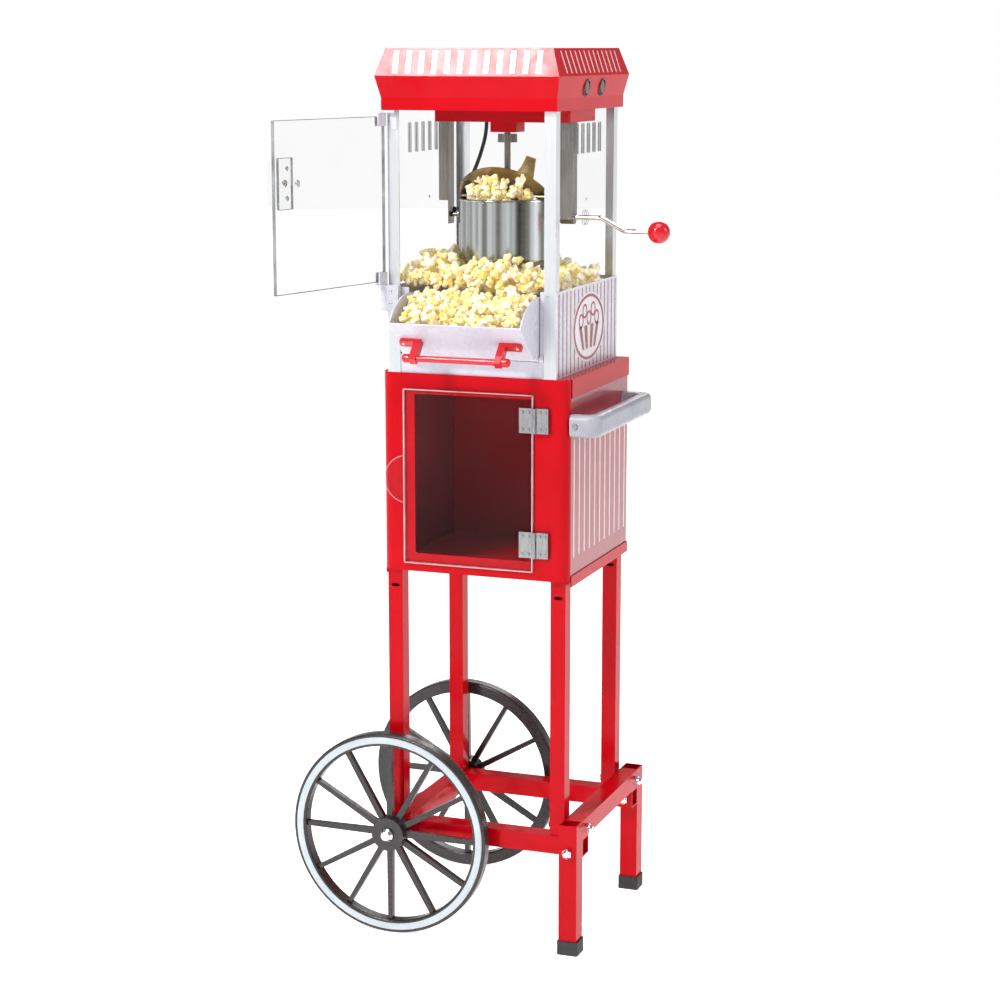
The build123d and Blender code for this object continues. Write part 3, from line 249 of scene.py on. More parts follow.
def steel_with_painted_reflections(name):
    """Polished steel of the pot: brushed round it, with upright darker and lighter bands of painted reflection."""
    material, shader, tree = new_material(name, (0.6, 0.6, 0.59), 0.2, 1.0)
    coordinates = tree.nodes.new("ShaderNodeTexCoord")
    parts = tree.nodes.new("ShaderNodeSeparateXYZ")
    tree.links.new(coordinates.outputs["Object"], parts.inputs["Vector"])
    angle = tree.nodes.new("ShaderNodeMath")
    angle.operation = "ARCTAN2"
    tree.links.new(parts.outputs["X"], angle.inputs[0])
    tree.links.new(parts.outputs["Y"], angle.inputs[1])
    spread = tree.nodes.new("ShaderNodeCombineXYZ")
    tree.links.new(angle.outputs["Value"], spread.inputs["X"])
    painted_reflection_bands = remap(tree, noise(tree, spread.outputs["Vector"], 2.6, 2.0, 0.5), 0.0, 1.0, 0.38, 0.62)
    # The ramp runs from near black to bright steel: painted reflections of the surroundings, in upright bands
    # round the pot.
    ramp = tree.nodes.new("ShaderNodeValToRGB")
    ramp.color_ramp.elements[0].position = 0.0
    ramp.color_ramp.elements[0].color = (0.045, 0.04, 0.03, 1.0)
    ramp.color_ramp.elements[1].position = 1.0
    ramp.color_ramp.elements[1].color = (0.74, 0.77, 0.78, 1.0)
    for position, colour in ((0.3, (0.15, 0.16, 0.13)), (0.55, (0.40, 0.425, 0.435))):
        element = ramp.color_ramp.elements.new(position)
        element.color = (*colour, 1.0)
    tree.links.new(painted_reflection_bands, ramp.inputs["Fac"])
    rings = noise(tree, object_coordinates(tree, (1.0, 1.0, 60.0)), 40.0, 4.0, 0.7)
    tone = remap(tree, rings, 0.0, 0.22)
    tree.links.new(
        blend_colours(tree, tone, ramp.outputs["Color"], (0.6, 0.6, 0.59)), shader.inputs["Base Color"]
    )
    tree.links.new(remap(tree, rings, 0.14, 0.26), shader.inputs["Roughness"])
    add_bump(tree, shader, rings, 0.06, 0.00003)
    return material


def popcorn_material(name):
    """Popped corn: colour from the kernels' own painted points, light inside the flakes, a faint painted glow."""
    material, shader, tree = new_material(name, (0.95, 0.88, 0.66), 0.62)
    paint = tree.nodes.new("ShaderNodeVertexColor")
    paint.layer_name = "corn"
    place = object_coordinates(tree)
    speckle = remap(tree, noise(tree, place, 700.0, 4.0), 0.0, 0.35, 0.45, 0.75)
    tree.links.new(
        blend_colours(tree, speckle, paint.outputs["Color"], (1.0, 0.86, 0.46)), shader.inputs["Base Color"]
    )
    shader.inputs["Subsurface Weight"].default_value = 0.25
    # Emission on the corn is painted light: a faint warm glow that brightens it.
    shader.inputs["Emission Color"].default_value = (1.0, 0.86, 0.55, 1.0)
    shader.inputs["Emission Strength"].default_value = 0.08
    shader.inputs["Subsurface Radius"].default_value = (0.004, 0.003, 0.0015)
    add_bump(tree, shader, noise(tree, place, 420.0, 5.0, 0.7), 0.55, 0.0007)
    return material


RED, RED_SHADE = (0.52, 0.001, 0.007), (0.46, 0.001, 0.006)
LILAC, LILAC_SHADE = (0.62, 0.61, 0.68), (0.56, 0.55, 0.63)
RED_INK = (0.24, 0.006, 0.014)


def slot_materials():
    """One material for each material slot of the record."""
    return {
        "red_metal": painted("red_metal", RED, RED_SHADE, Specular_IOR_Level=0.11),
        # The cabinet sides are the same red paint as red_metal; their darker, pinker red is painted shade with a
        # painted pinkish sheen on the side faces.
        "striped_red_metal": painted(
            "striped_red_metal", (0.36, 0.05, 0.06), (0.31, 0.04, 0.05), Specular_IOR_Level=0.6
        ),
        "white_metal": painted("white_metal", LILAC, LILAC_SHADE, (0.22, 0.34)),
        "striped_white_metal": painted("striped_white_metal", LILAC, LILAC_SHADE, (0.25, 0.36)),
        "badge": painted("badge", (0.72, 0.66, 0.71), (0.66, 0.60, 0.66), (0.15, 0.25)),
        "post_aluminium": metal(
            "post_aluminium", (0.72, 0.74, 0.755), (0.62, 0.64, 0.655), (0.28, 0.42), (1.0, 1.0, 0.03), 500.0
        ),
        "window_acrylic": acrylic("window_acrylic", (0.12, 0.125, 0.13), 0.022),
        "door_acrylic": acrylic("door_acrylic", (0.12, 0.125, 0.13), 0.028),
        "wheel_plastic": plastic("wheel_plastic", (0.018, 0.015, 0.016), (0.026, 0.021, 0.022), (0.22, 0.34)),
        "chrome": metal("chrome", (0.82, 0.82, 0.84), (0.74, 0.74, 0.76), (0.05, 0.12), grain=160.0),
        "bright_steel": metal("bright_steel", (0.6, 0.6, 0.62), (0.5, 0.5, 0.52), (0.2, 0.35)),
        "rubber": plastic("rubber", (0.02, 0.02, 0.021), (0.03, 0.03, 0.031), (0.6, 0.75), 700.0, 0.3),
        "handle_grey": plastic(
            "handle_grey", (0.36, 0.365, 0.41), (0.30, 0.305, 0.35), (0.3, 0.42), 800.0, 0.2
        ),
        "hinge_steel": metal(
            "hinge_steel", (0.38, 0.38, 0.39), (0.27, 0.27, 0.28), (0.25, 0.42), (1.0, 1.0, 0.1), 600.0
        ),
        "kettle_steel": steel_with_painted_reflections("kettle_steel"),
        "heater_aluminium": metal("heater_aluminium", (0.30, 0.29, 0.27), (0.2, 0.19, 0.18), (0.4, 0.6)),
        "lid_bronze": metal(
            "lid_bronze", (0.52, 0.43, 0.30), (0.38, 0.30, 0.19), (0.24, 0.4), (0.08, 1.0, 1.0), 300.0
        ),
        "hanger_steel": metal(
            "hanger_steel", (0.26, 0.24, 0.22), (0.16, 0.145, 0.13), (0.25, 0.4), (1.0, 1.0, 0.05), 400.0
        ),
        "red_plastic": plastic("red_plastic", (0.60, 0.006, 0.014), (0.52, 0.005, 0.012), (0.08, 0.16)),
        "rocker_red": plastic("rocker_red", (0.13, 0.006, 0.01), (0.09, 0.005, 0.008), (0.12, 0.25)),
        "black_plastic": plastic("black_plastic", (0.022, 0.016, 0.018), (0.03, 0.022, 0.024), (0.25, 0.4)),
        "cable_black": plastic(
            "cable_black", (0.03, 0.026, 0.024), (0.05, 0.04, 0.036), (0.5, 0.65), 900.0, 0.4
        ),
        "lamp_glass": plastic("lamp_glass", (0.80, 0.78, 0.72), (0.74, 0.71, 0.63), (0.2, 0.35)),
        "white_plastic": plastic("white_plastic", (0.60, 0.59, 0.66), (0.54, 0.53, 0.60), (0.2, 0.35)),
    }


def paint_nodes(materials):
    """Every CAD node takes the material of its slot in the record."""
    for entry in frame["record"]["subparts"]:
        node = nodes[entry["node"]]
        node.data.materials.clear()
        node.data.materials.append(materials[entry["material_slot"]])


def soften_edges(names, width):
    """Rounds the sharp edges of folded sheets and tubes a little, so that they catch light."""
    for name in names:
        bevel = nodes[name].modifiers.new("edge", "BEVEL")
        bevel.width = width
        bevel.segments = 2
        bevel.limit_method = "ANGLE"
        bevel.angle_limit = math.radians(40)
        bevel.harden_normals = True


# ---------------------------------------------------------------- mesh helpers
def piece_from(name, bm, material, body, smooth=True):
    """Makes an object of a bmesh, paints it and lets it ride on a body."""
    for face in bm.faces:
        face.smooth = smooth
    mesh = bpy.data.meshes.new(name)
    bm.to_mesh(mesh)
    bm.free()
    mesh.materials.append(material)
    piece = bpy.data.objects.new(name, mesh)
    scene.collection.objects.link(piece)
    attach(piece, body)
    return piece


def add_slab(bm, corner, along, across, out):
    """A thin box from one corner, with three edge vectors."""
    base = Vector(corner)
    along, across, out = Vector(along), Vector(across), Vector(out)
    points = [
        bm.verts.new(base + along * i + across * j + out * k)
        for k in (0, 1) for i, j in ((0, 0), (1, 0), (1, 1), (0, 1))
    ]
    for face in ((3, 2, 1, 0), (4, 5, 6, 7), (0, 1, 5, 4), (1, 2, 6, 5), (2, 3, 7, 6), (3, 0, 4, 7)):
        bm.faces.new([points[i] for i in face])


def add_ring(bm, centre, axis, profile, segments=96):
    """A closed profile of (radius, height) points turned round an axis."""
    axis = Vector(axis).normalized()
    first = axis.orthogonal().normalized()
    second = axis.cross(first)
    rings = []
    for i in range(segments):
        turn = 2 * math.pi * i / segments
        direction = first * math.cos(turn) + second * math.sin(turn)
        rings.append([bm.verts.new(Vector(centre) + direction * r + axis * h) for r, h in profile])
    count = len(profile)
    for i in range(segments):
        here, there = rings[i], rings[(i + 1) % segments]
        for j in range(count):
            k = (j + 1) % count
            bm.faces.new((here[j], there[j], there[k], here[k]))


def add_tube(bm, path, radius, sides=8, closed=False):
    """A round tube along points that lie close enough together to bend smoothly."""
    points = [Vector(point) for point in path]
    count = len(points)
    rings = []
    normal = None
    for i, point in enumerate(points):
        before = points[(i - 1) % count] if closed or i > 0 else point
        after = points[(i + 1) % count] if closed or i < count - 1 else point
        tangent = (after - before).normalized()
        if normal is None:
            normal = tangent.orthogonal().normalized()
        normal = (normal - tangent * normal.dot(tangent)).normalized()
        other = tangent.cross(normal)
        turns = [2 * math.pi * j / sides for j in range(sides)]
        spokes = [normal * math.cos(t) + other * math.sin(t) for t in turns]
        rings.append([bm.verts.new(point + spoke * radius) for spoke in spokes])
    for i in range(count if closed else count - 1):
        here, there = rings[i], rings[(i + 1) % count]
        for j in range(sides):
            k = (j + 1) % sides
            bm.faces.new((here[j], here[k], there[k], there[j]))
    if not closed:
        bm.faces.new(rings[0][::-1])
        bm.faces.new(rings[-1])


# ---------------------------------------------------------------- popcorn
def popcorn_shapes(count, subdivisions, seed):
    """Popped kernels of size 1: round lobes on a core, with colours darkest in their creases."""
    rng = np.random.RandomState(seed)
    bm = bmesh.new()
    bmesh.ops.create_icosphere(bm, subdivisions=subdivisions, radius=1.0)
    directions = np.array([v.co[:] for v in bm.verts])
    faces = np.array([[v.index for v in face.verts] for face in bm.faces])
    bm.free()
    directions /= np.linalg.norm(directions, axis=1)[:, None]
    shapes = []
    for _ in range(count):
        lobes = rng.randint(7, 12)
        centres = rng.normal(size=(lobes, 3))
        centres /= np.linalg.norm(centres, axis=1)[:, None]
        centres *= rng.uniform(0.40, 0.80, size=(lobes, 1))
        radii = rng.uniform(0.22, 0.44, size=lobes)
        along = directions @ centres.T
        inside = radii ** 2 - (centres ** 2).sum(axis=1) + along ** 2
        reach = np.where(inside > 0, along + np.sqrt(np.maximum(inside, 0.0)), 0.0)
        reach = np.concatenate([reach, np.full((len(directions), 1), 0.42)], axis=1)
        order = np.sort(reach, axis=1)
        length = order[:, -1]
        crease = np.clip(1.0 - (order[:, -1] - order[:, -2]) / 0.16, 0.0, 1.0)
        waves = rng.normal(size=(3, 3)) * 7.0
        ripple = sum(np.sin(directions @ wave + rng.uniform(0, 6.3)) for wave in waves) / 3
        length = length * (1.0 + 0.07 * ripple)
        points = directions * length[:, None] * rng.uniform(0.85, 1.12, size=3)
        low = np.clip((0.72 - length) / 0.3, 0.0, 1.0)
        butter = rng.uniform(0.0, 1.0)
        cream = np.array([0.98, 0.95, 0.84])
        yellow = np.array([1.0, 0.76, 0.12])
        brown = np.array([0.42, 0.17, 0.03])
        spot = np.clip(directions @ (centres[0] / np.linalg.norm(centres[0])) * -1.0 - 0.82, 0, 0.18) / 0.18
        amount = np.clip(0.5 * butter ** 2 + 0.8 * low + 0.35 * crease * butter, 0.0, 1.0)[:, None]
        colours = cream * (1 - amount) + yellow * amount
        colours = colours * (1 - 0.8 * spot[:, None]) + brown * 0.8 * spot[:, None]
        shapes.append((points, colours))
    return shapes, faces


def popcorn_pile(name, places, sizes, shapes, faces, material, body, seed):
    """One object of many kernels, each turned at random, at the given places in metres."""
    rng = np.random.RandomState(seed)
    points, colours, polygons = [], [], []
    start = 0
    for place, size in zip(places, sizes):
        shape, paint = shapes[rng.randint(len(shapes))]
        turn, _ = np.linalg.qr(rng.normal(size=(3, 3)))
        if np.linalg.det(turn) < 0:
            turn[:, 0] *= -1
        points.append(shape @ turn.T * size + place)
        colours.append(paint * rng.uniform(0.92, 1.04))
        polygons.append(faces + start)
        start += len(shape)
    points, colours, polygons = map(np.concatenate, (points, colours, polygons))
    mesh = bpy.data.meshes.new(name)
    mesh.from_pydata(points.tolist(), [], polygons.tolist())
    mesh.polygons.foreach_set("use_smooth", [True] * len(polygons))
    layer = mesh.color_attributes.new("corn", "FLOAT_COLOR", "POINT")
    rgba = np.concatenate([np.clip(colours, 0, 1), np.ones((len(colours), 1))], axis=1)
    layer.data.foreach_set("color", rgba.ravel())
    mesh.materials.append(material)
    pile = bpy.data.objects.new(name, mesh)
    scene.collection.objects.link(pile)
    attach(pile, body)
    return pile


def spread_places(low, high, spacing, seed):
    """Jittered points of a close packing in a box."""
    rng = np.random.RandomState(seed)
    xs = np.arange(low[0], high[0], spacing)
    ys = np.arange(low[1], high[1], spacing * 0.9)
    zs = np.arange(low[2], high[2], spacing * 0.8)
    grid = np.array([
        (x + spacing * 0.5 * ((j + k) % 2), y + spacing * 0.3 * (k % 2), z)
        for k, z in enumerate(zs) for j, y in enumerate(ys) for x in xs
    ])
    return grid + rng.uniform(-0.32, 0.32, size=grid.shape) * spacing


def surface_layers(places, top, depth):
    """The places between the heap's surface and a depth under it."""
    height = top(places[:, 0], places[:, 1])
    return places[(places[:, 2] < height) & (places[:, 2] > height - depth)]


KERNEL = 8.2 * MM
POT_SWEEP = 85 * MM       # the kettle reaches 83.1 mm from its tilting axis
TRAY_SWEEP = 79 * MM      # distance from the tray's rod that parts the tray's heap from the case's
TRAY_HEEL = (-144.5 * MM, 768 * MM)      # y and z of the bottom of the tray's front
TRAY_RISE, TRAY_OUT = (-0.727, 0.686), (-0.686, -0.727)      # y and z up that front and out of it


def case_places(low, high, spacing, seed, top, depth, pivot):
    """Middles of the kernels in a heap's outer layer, all of them past TRAY_SWEEP."""
    places = surface_layers(spread_places(low, high, spacing, seed), top, depth)
    from_pivot = np.hypot(places[:, 1] - pivot[1], places[:, 2] - pivot[2])
    return places[from_pivot > TRAY_SWEEP + 0.15 * KERNEL]


def add_case_popcorn(material, shapes, low_shapes, deck):
    """The heap in the case. Its middle, where the kettle swings down, is a piece of its own with its own mesh."""
    low, high = (np.array(corner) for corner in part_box("side_windows"))
    pivot = np.array(joints["tray_tilt"]["pos_m"])
    kettle = np.array(joints["kettle_tilt"]["pos_m"])
    left, right, pot = low[0] + 11 * MM, high[0] - 11 * MM, 72 * MM

    def top(x, y):
        bank = 0.884 - 0.10 * np.clip(y + 0.02, 0.0, 1.0) - 0.25 * np.clip(x - 0.03, 0.0, 1.0)
        fall = 0.35 * np.clip(-0.075 - y, 0.0, 1.0)
        return bank - fall + 0.006 * np.sin(x * 70.0) + 0.004 * np.sin(y * 90.0 + 1.0)

    def top_at_pot(x, y):
        """The same surface, kept under the kettle's bottom."""
        under = np.hypot(x, y) < 66 * MM + KERNEL
        return np.where(under, 0.864, np.minimum(top(x, y), 0.884))

    deep = 36 * MM
    rear = case_places((left, 0.0, deck), (right, 108 * MM, 0.895), 13.6 * MM, 1, top, deep, pivot)
    sides = case_places((left, -108 * MM, deck), (right, 0.0, 0.895), 13.2 * MM, 2, top, deep, pivot)
    middle = case_places(
        (-pot, -100 * MM, deck), (pot, 96 * MM, 0.895), 13.2 * MM, 3, top_at_pot, 28 * MM, pivot
    )
    from_kettle = np.hypot(rear[:, 1] - kettle[1], rear[:, 2] - kettle[2])
    rear = rear[(np.abs(rear[:, 0]) > pot) | (from_kettle > POT_SWEEP + KERNEL)]
    sides = sides[np.abs(sides[:, 0]) > pot]
    from_pivot = np.hypot(sides[:, 1] - pivot[1], sides[:, 2] - pivot[2])
    sides = sides[from_pivot > TRAY_SWEEP + 1.25 * KERNEL]
    from_kettle = np.hypot(middle[:, 1] - kettle[1], middle[:, 2] - kettle[2])
    in_sweep = from_kettle < POT_SWEEP + KERNEL
    front = middle[~in_sweep & (middle[:, 1] < 0)]
    middle = middle[in_sweep & (middle[:, 1] > -68 * MM)]
    piles = (
        ("popcorn_case_rear", rear, low_shapes), ("popcorn_case_sides", sides, shapes),
        ("popcorn_case_front", front, shapes), ("popcorn_case_middle", middle, low_shapes),
    )
    for number, (name, places, kernels) in enumerate(piles):
        sizes = np.random.RandomState(31 + number).uniform(0.9, 1.2, size=len(places)) * KERNEL
        pile = popcorn_pile(name, places, sizes, *kernels, material, "cart", 21 + number)
        if name == "popcorn_case_middle":
            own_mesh(pile)


def add_tray_popcorn(material, shapes):
    """The tray's heap. The middles of its kernels stay within TRAY_SWEEP."""
    low, high = (np.array(corner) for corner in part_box("tray"))
    pivot = np.array(joints["tray_tilt"]["pos_m"])
    heel, front_normal = np.array(TRAY_HEEL), -np.array(TRAY_OUT)
    back_normal = np.array((0.836, -0.549))
    places = spread_places(
        (low[0] + 12 * MM, low[1] + 6 * MM, pivot[2]),
        (high[0] - 16 * MM, high[1], high[2] + 8 * MM), 12.6 * MM, 3,
    )
    radius = np.hypot(places[:, 1] - pivot[1], places[:, 2] - pivot[2])
    from_front = (places[:, 1:] - heel) @ front_normal
    from_back = (places[:, 1:] - pivot[1:]) @ back_normal
    keep = (radius < TRAY_SWEEP - 0.1 * KERNEL) & (radius > 40 * MM)
    keep &= (from_front > KERNEL) & (from_back < -0.9 * KERNEL)
    places = places[keep]
    sizes = np.random.RandomState(12).uniform(0.9, 1.15, size=len(places)) * KERNEL
    popcorn_pile("popcorn_tray", places, sizes, *shapes, material, "tray", 23)


def add_kettle_popcorn(material, shapes):
    """Popcorn rising out of the kettle and holding its lid open, in a mesh of its own."""
    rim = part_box("kettle_pot")[1][2]
    hinge = np.array(joints["lid_flap_lift"]["pos_m"])
    places = spread_places(
        (-60 * MM, -64 * MM, rim - 14 * MM), (60 * MM, -12 * MM, rim + 36 * MM), 12.0 * MM, 4
    )
    across = np.hypot(places[:, 0], places[:, 1])
    flap_line = (places[:, 2] - hinge[2]) * 0.719 - (hinge[1] - places[:, 1]) * 0.695
    places = places[(across < 56 * MM) & (flap_line < -(KERNEL + 2 * MM))]
    sizes = np.random.RandomState(13).uniform(0.85, 1.05, size=len(places)) * KERNEL
    pile = popcorn_pile("popcorn_kettle", places, sizes, *shapes, material, "kettle", 24)
    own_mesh(pile)


def add_popcorn():
    """Popcorn in the case, in the tray and in the kettle."""
    material = popcorn_material("popcorn")
    shapes, low_shapes = popcorn_shapes(14, 3, 5), popcorn_shapes(14, 2, 6)
    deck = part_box("base_pan")[0][2] + 18 * MM
    add_case_popcorn(material, shapes, low_shapes, deck)
    add_tray_popcorn(material, shapes)
    add_kettle_popcorn(material, shapes)


# ---------------------------------------------------------------- printed stripes and badges
STRIPE = 0.12 * MM        # thickness of a printed stripe


def add_canopy_stripes(material):
    """White stripes up the canopy's upper slopes, wide in front and behind, narrow at the sides."""
    brow_half = (120.7 * MM, 139.8 * MM)
    crown_half = (109.5 * MM, 129.8 * MM)
    brow_z, crown_z = 1109.4 * MM, cad_bounds[1][2]
    middle_x = (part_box("canopy")[0][0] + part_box("canopy")[1][0]) / 2
    bm = bmesh.new()
    for side in (-1, 1):
        for count, width, axis in ((12, 6.4 * MM, 0), (13, 3.2 * MM, 1)):
            other = 1 - axis
            reach = 0.84 if axis == 0 else 0.80
            for i in range(count):
                along = (2 * (i + 0.5) / count - 1) * crown_half[axis] * reach * count / (count - 1) * 1.02
                ends = []
                for t in (0.10, 0.90):
                    point = [0.0, 0.0, brow_z + (crown_z - brow_z) * t]
                    point[axis] = along
                    point[other] = side * (brow_half[other] + (crown_half[other] - brow_half[other]) * t)
                    point[0] += middle_x
                    ends.append(Vector(point))
                across = Vector((0, 0, 0))
                across[axis] = width
                up = ends[1] - ends[0]
                out = across.cross(up).normalized()
                facing = Vector((0, 0, 0))
                facing[other] = side
                if out.dot(facing) < 0:
                    out = -out
                add_slab(bm, ends[0] - across / 2, across, up, out * STRIPE)
    bmesh.ops.recalc_face_normals(bm, faces=bm.faces)
    piece_from("canopy_stripes", bm, material, "cart", smooth=False)


def add_side_stripes(name, node, count, width, margin, low_gap, high_gap, material):
    """Upright stripes on both outer faces of a pair of side panels."""
    low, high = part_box(node)
    bm = bmesh.new()
    bottom, top = low[2] + low_gap, high[2] - high_gap
    for x, out in ((low[0], -1), (high[0], 1)):
        for i in range(count):
            y = low[1] + margin + (high[1] - low[1] - 2 * margin) * i / (count - 1)
            corner = (x, y - width / 2, bottom)
            add_slab(bm, corner, (0, width, 0), (0, 0, top - bottom), (out * STRIPE, 0, 0))
    bmesh.ops.recalc_face_normals(bm, faces=bm.faces)
    piece_from(name, bm, material, "cart", smooth=False)


INK = 0.25 * MM           # thickness of the badge's print
BUCKET_STRIPES = ((-0.30, -0.22), (-0.14, -0.05), (0.05, 0.14), (0.22, 0.30))
BUCKET_KERNELS = ((-0.32, 0.22), (0.0, 0.26), (0.32, 0.22), (-0.17, 0.48), (0.17, 0.48))


def add_badges(ink):
    """A red border and a striped bucket of popcorn on each oval badge."""
    low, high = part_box("side_badges")
    centre_y, centre_z = (low[1] + high[1]) / 2, (low[2] + high[2]) / 2
    half_width, half_height = (high[1] - low[1]) / 2, (high[2] - low[2]) / 2
    kernel = [(6.6 * MM, 0), (6.6 * MM, INK), (9.4 * MM, INK), (9.4 * MM, 0)]
    bm = bmesh.new()
    for side, x in ((-1, low[0]), (1, high[0])):
        first = len(bm.verts)
        add_ring(bm, (0, 0, 0), (side, 0, 0), [(0.86, 0.0), (0.86, INK), (0.94, INK), (0.94, 0.0)])
        for vert in list(bm.verts)[first:]:
            y, z = centre_y + vert.co.y * half_width, centre_z + vert.co.z * half_height
            vert.co = Vector((x + vert.co.x, y, z))
        front = x + side * INK
        for start, end in BUCKET_STRIPES:
            corners = ((start * 0.72, -0.62), (end * 0.72, -0.62), (end * 1.15, 0.06), (start * 1.15, 0.06))
            bm.faces.new([
                bm.verts.new((front, centre_y + 2.6 * y * half_height, centre_z + z * half_height))
                for y, z in corners
            ])
        for y, z in BUCKET_KERNELS:
            place = Vector((x, centre_y + 2.2 * y * half_height, centre_z + z * half_height))
            add_ring(bm, place, (side, 0, 0), kernel, 28)
    bmesh.ops.recalc_face_normals(bm, faces=bm.faces)
    piece_from("badge_print", bm, ink, "cart", smooth=False)


# ---------------------------------------------------------------- wheels, windows and doors
WHEEL_HALF_WIDTH = 9 * MM


def add_wheel_rings(material):
    """A pale ring standing half a millimetre out of each wheel's outer face."""
    for place, side in (("front", -1), ("rear", 1)):
        centre = Vector(joints[f"{place}_wheel_spin"]["pos_m"])
        face = centre.y + side * WHEEL_HALF_WIDTH
        bm = bmesh.new()
        profile = [
            (121.4 * MM, -0.3 * MM), (122.2 * MM, 0.25 * MM), (124.0 * MM, 0.5 * MM), (128.4 * MM, 0.5 * MM),
            (130.2 * MM, 0.25 * MM), (131.0 * MM, -0.3 * MM),
        ]
        add_ring(bm, (centre.x, face, centre.z), (0, side, 0), profile, 160)
        bmesh.ops.recalc_face_normals(bm, faces=bm.faces)
        piece_from(f"{place}_wheel_ring", bm, material, f"{place}_wheel")


WINDOW_THICKNESS = 2.5 * MM


def add_vent_edges(material):
    """Cut edges round the side windows' vent slots and round the rod's hole in the right one, drawn in painted
    shade.
    """
    low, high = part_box("side_windows")
    bm = bmesh.new()
    radius, straight = 1.75 * MM, 33.5 * MM
    for x in (low[0], low[0] + WINDOW_THICKNESS, high[0] - WINDOW_THICKNESS, high[0]):
        for i in range(6):
            y, z = (-57.0 + 22.4 * i) * MM, 1031.5 * MM
            path = []
            for k in range(32):
                turn = 2 * math.pi * k / 32
                lift = straight / 2 if math.sin(turn) >= 0 else -straight / 2
                path.append((x, y + radius * math.cos(turn), z + lift + radius * math.sin(turn)))
            add_tube(bm, path, 0.45 * MM, 6, closed=True)
    for x in (high[0] - WINDOW_THICKNESS, high[0]):
        path = [
            (x, 9.5 * MM * math.cos(2 * math.pi * k / 48), 0.932 + 9.5 * MM * math.sin(2 * math.pi * k / 48))
            for k in range(48)
        ]
        add_tube(bm, path, 0.4 * MM, 6, closed=True)
    piece_from("vent_edges", bm, material, "cart")


def add_panel_edges(name, corners, thickness_direction, material, body, width=1.1 * MM):
    """Narrow strips along the four cut edges of a sheet, a little deeper than the given thickness."""
    corners = [Vector(corner) for corner in corners]
    middle = sum(corners, Vector()) / len(corners)
    out = Vector(thickness_direction)
    bm = bmesh.new()
    for start, end in zip(corners, corners[1:] + corners[:1]):
        run = end - start
        inwards = middle - (start + end) / 2
        inwards = (inwards - run.normalized() * inwards.dot(run.normalized())).normalized() * width
        overhang = out.normalized() * 0.06 * MM
        add_slab(bm, start - overhang - inwards * 0.05, run, inwards, out + overhang * 2)
    bmesh.ops.recalc_face_normals(bm, faces=bm.faces)
    return piece_from(name, bm, material, body, smooth=False)


def popper_door_directions():
    """The popper door's hinge, and the directions along the open door and out of it."""
    angle = -math.radians(103.0)
    along = Vector((math.cos(angle), math.sin(angle), 0.0))
    out = Vector((math.sin(angle), -math.cos(angle), 0.0))
    return Vector(joints["popper_door_swing"]["pos_m"]), along, out


POPPER_WIDTH, POPPER_THICKNESS = 218 * MM, 4 * MM
DOOR_LEFT = -94.0 * MM                  # left edge of the cabinet door's sheet
TAB_X, TAB_RISE = -89.0 * MM, 108.8 * MM   # middle of its finger tab, the second over its bottom
TAB_LINE = 30.6 * MM                    # radius of the line, 0.4 mm inside the tab's edge


def add_door_edges(popper_edge_shade, cabinet_edge_glow):
    """Cut edges of the popper door, in painted shade, and of the cabinet door and its finger tab, in a painted
    pinkish glow.
    """
    hinge, along, out = popper_door_directions()
    low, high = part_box("popper_door")
    start = Vector((hinge.x, hinge.y, 0.0)) - out * POPPER_THICKNESS / 2
    far = start + along * POPPER_WIDTH
    corners = [(p.x, p.y, z) for p, z in ((start, high[2]), (far, high[2]), (far, low[2]), (start, low[2]))]
    add_panel_edges(
        "popper_door_edges", corners, out * POPPER_THICKNESS, popper_edge_shade, "popper_door", 0.7 * MM
    )
    low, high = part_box("cabinet_door")
    bm = bmesh.new()
    path = [
        (TAB_X + TAB_LINE * math.cos(t), low[1], low[2] + TAB_RISE + TAB_LINE * math.sin(t))
        for t in np.linspace(math.radians(99.5), math.radians(260.5), 40)
    ]
    add_tube(bm, path, 0.35 * MM, 6)
    piece_from("door_tab_edge", bm, cabinet_edge_glow, "cabinet_door")
    outline = ((DOOR_LEFT, low[2]), (high[0], low[2]), (high[0], high[2]), (DOOR_LEFT, high[2]))
    corners = [(x, high[1], z) for x, z in outline]
    inwards = (0, low[1] - high[1], 0)
    add_panel_edges("cabinet_door_edges", corners, inwards, cabinet_edge_glow, "cabinet_door", 1.1 * MM)


# ---------------------------------------------------------------- small screws
def add_screw(bm, place, out, radius=2.4 * MM, rise=1.3 * MM):
    """A domed screw head with a small hole in its middle, standing on a face."""
    profile = [(radius * math.cos(t), rise * math.sin(t)) for t in (0.0, 0.35, 0.7, 1.05, 1.35)]
    profile += [(radius * 0.12, rise * 0.55), (radius * 0.12, -0.2 * MM), (radius, -0.2 * MM)]
    add_ring(bm, place, out, profile, 24)


def add_case_screws(material):
    """Screws of the posts, of the popper door's brackets and of the side windows."""
    post_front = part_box("corner_posts")[0][1]
    bracket_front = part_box("popper_door_brackets")[0][1]
    left_window, right_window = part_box("side_windows")[0][0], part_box("side_windows")[1][0]
    bm = bmesh.new()
    for x in (-104.0 * MM, 97.5 * MM):
        add_screw(bm, (x, post_front, 842.6 * MM), (0, -1, 0), 1.8 * MM)
    for z in (843.0 * MM, 828.0 * MM):
        add_screw(bm, (-107.5 * MM, bracket_front, z), (0, -1, 0), 2.2 * MM)
    add_screw(bm, (left_window, 11.8 * MM, 953 * MM), (-1, 0, 0), 2.0 * MM)
    add_screw(bm, (right_window, -1.7 * MM, 955 * MM), (1, 0, 0), 2.0 * MM)
    bmesh.ops.recalc_face_normals(bm, faces=bm.faces)
    piece_from("case_screws", bm, material, "cart")


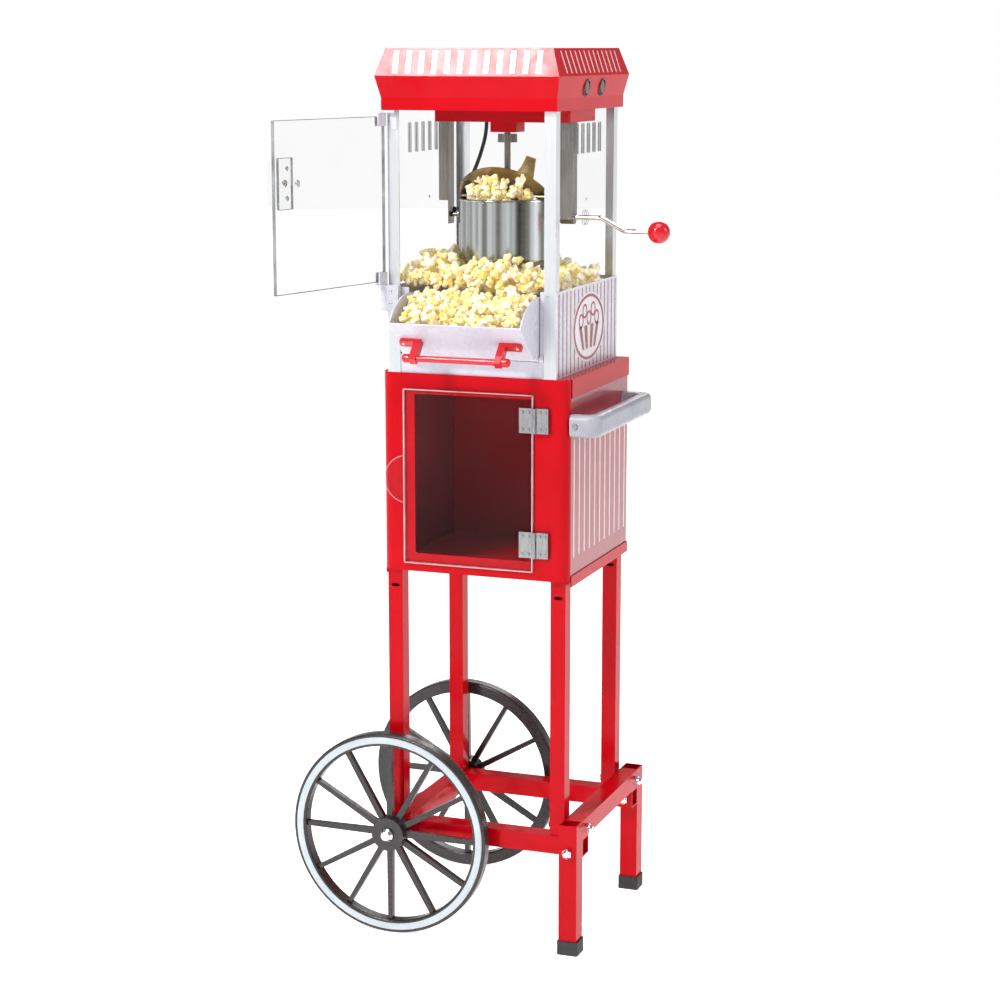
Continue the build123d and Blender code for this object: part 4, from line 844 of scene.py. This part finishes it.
def add_tray_screws(material):
    """Screw heads on the mounts of the tray's bar."""
    out = Vector((0, *TRAY_OUT))
    row = Vector((0, *TRAY_HEEL)) + Vector((0, *TRAY_RISE)) * 27 * MM + out * 5.75 * MM
    bm = bmesh.new()
    for x in (-75 * MM, 75 * MM):
        add_screw(bm, row + Vector((x, 0, 0)), out, 2.4 * MM)
    bmesh.ops.recalc_face_normals(bm, faces=bm.faces)
    piece_from("tray_screws", bm, material, "tray")


def add_popper_door_pull(material, edge):
    """Edges and screws of the popper door's pull, and both ends of its round latch."""
    hinge, along, out = popper_door_directions()
    foot = Vector((hinge.x, hinge.y, 0.0))
    face = foot + out * POPPER_THICKNESS / 2
    inner, outer, low, high = 178.5 * MM, 205.5 * MM, 955 * MM, 1016 * MM
    corners = [
        face + along * u + Vector((0, 0, z))
        for u, z in ((inner, low), (outer, low), (outer, high), (inner, high))
    ]
    # The pull's edge strips are painted shade along the acrylic's cut edges.
    add_panel_edges("pull_edges", corners, out * 2.9 * MM, edge, "popper_door", 0.6 * MM)
    bm = bmesh.new()
    latch = foot + Vector((0, 0, 986 * MM)) + along * 190 * MM
    add_screw(bm, latch + out * 5 * MM, out, 4.2 * MM, 3.0 * MM)
    add_screw(bm, latch - out * 14 * MM, -out, 4.6 * MM, 1.0 * MM)
    for z in (968 * MM, 1003 * MM):
        add_screw(bm, foot + Vector((0, 0, z)) + along * 186 * MM + out * 5 * MM, out, 3.0 * MM)
    bmesh.ops.recalc_face_normals(bm, faces=bm.faces)
    piece_from("pull_screws", bm, material, "popper_door")


# ---------------------------------------------------------------- the scene
materials = slot_materials()
add_camera()
add_studio()
paint_nodes(materials)
soften_edges(
    (
        "canopy", "motor_housing", "gear_box", "cabinet_front", "cabinet_floor", "cabinet_top", "legs",
        "rails", "left_cross_bar", "right_cross_bar", "feet", "cabinet_sides",
    ),
    0.6 * MM,
)
white_ink = painted("white_ink", (0.74, 0.70, 0.72), (0.68, 0.64, 0.66), (0.15, 0.25))
red_ink = painted("red_ink", RED_INK, (0.20, 0.005, 0.012), (0.2, 0.3))
ring_white = plastic("ring_white", (0.52, 0.58, 0.62), (0.46, 0.52, 0.56), (0.25, 0.4))
# Grey of the acrylic's cut edges: painted shade, standing in for the darkening of light bent in the edges.
painted_shade_edge = plastic("painted_shade_edge", (0.26, 0.27, 0.28), (0.12, 0.125, 0.13), (0.15, 0.3))
# Pinkish white of the cabinet door's edges and tab: painted glow of light gathered in the acrylic's edges.
painted_glow_edge = plastic("painted_glow_edge", (0.66, 0.52, 0.54), (0.5, 0.36, 0.38), (0.15, 0.3))
add_canopy_stripes(white_ink)
add_side_stripes("cabinet_stripes", "cabinet_sides", 11, 3.4 * MM, 12 * MM, 26 * MM, 76 * MM, white_ink)
add_side_stripes("base_stripes", "base_side_panels", 16, 3.2 * MM, 9 * MM, 2 * MM, 3 * MM, red_ink)
add_badges(red_ink)
add_wheel_rings(ring_white)
add_vent_edges(painted_shade_edge)
add_door_edges(painted_shade_edge, painted_glow_edge)
add_case_screws(materials["bright_steel"])
add_tray_screws(materials["bright_steel"])
add_popper_door_pull(materials["bright_steel"], painted_shade_edge)
add_popcorn()
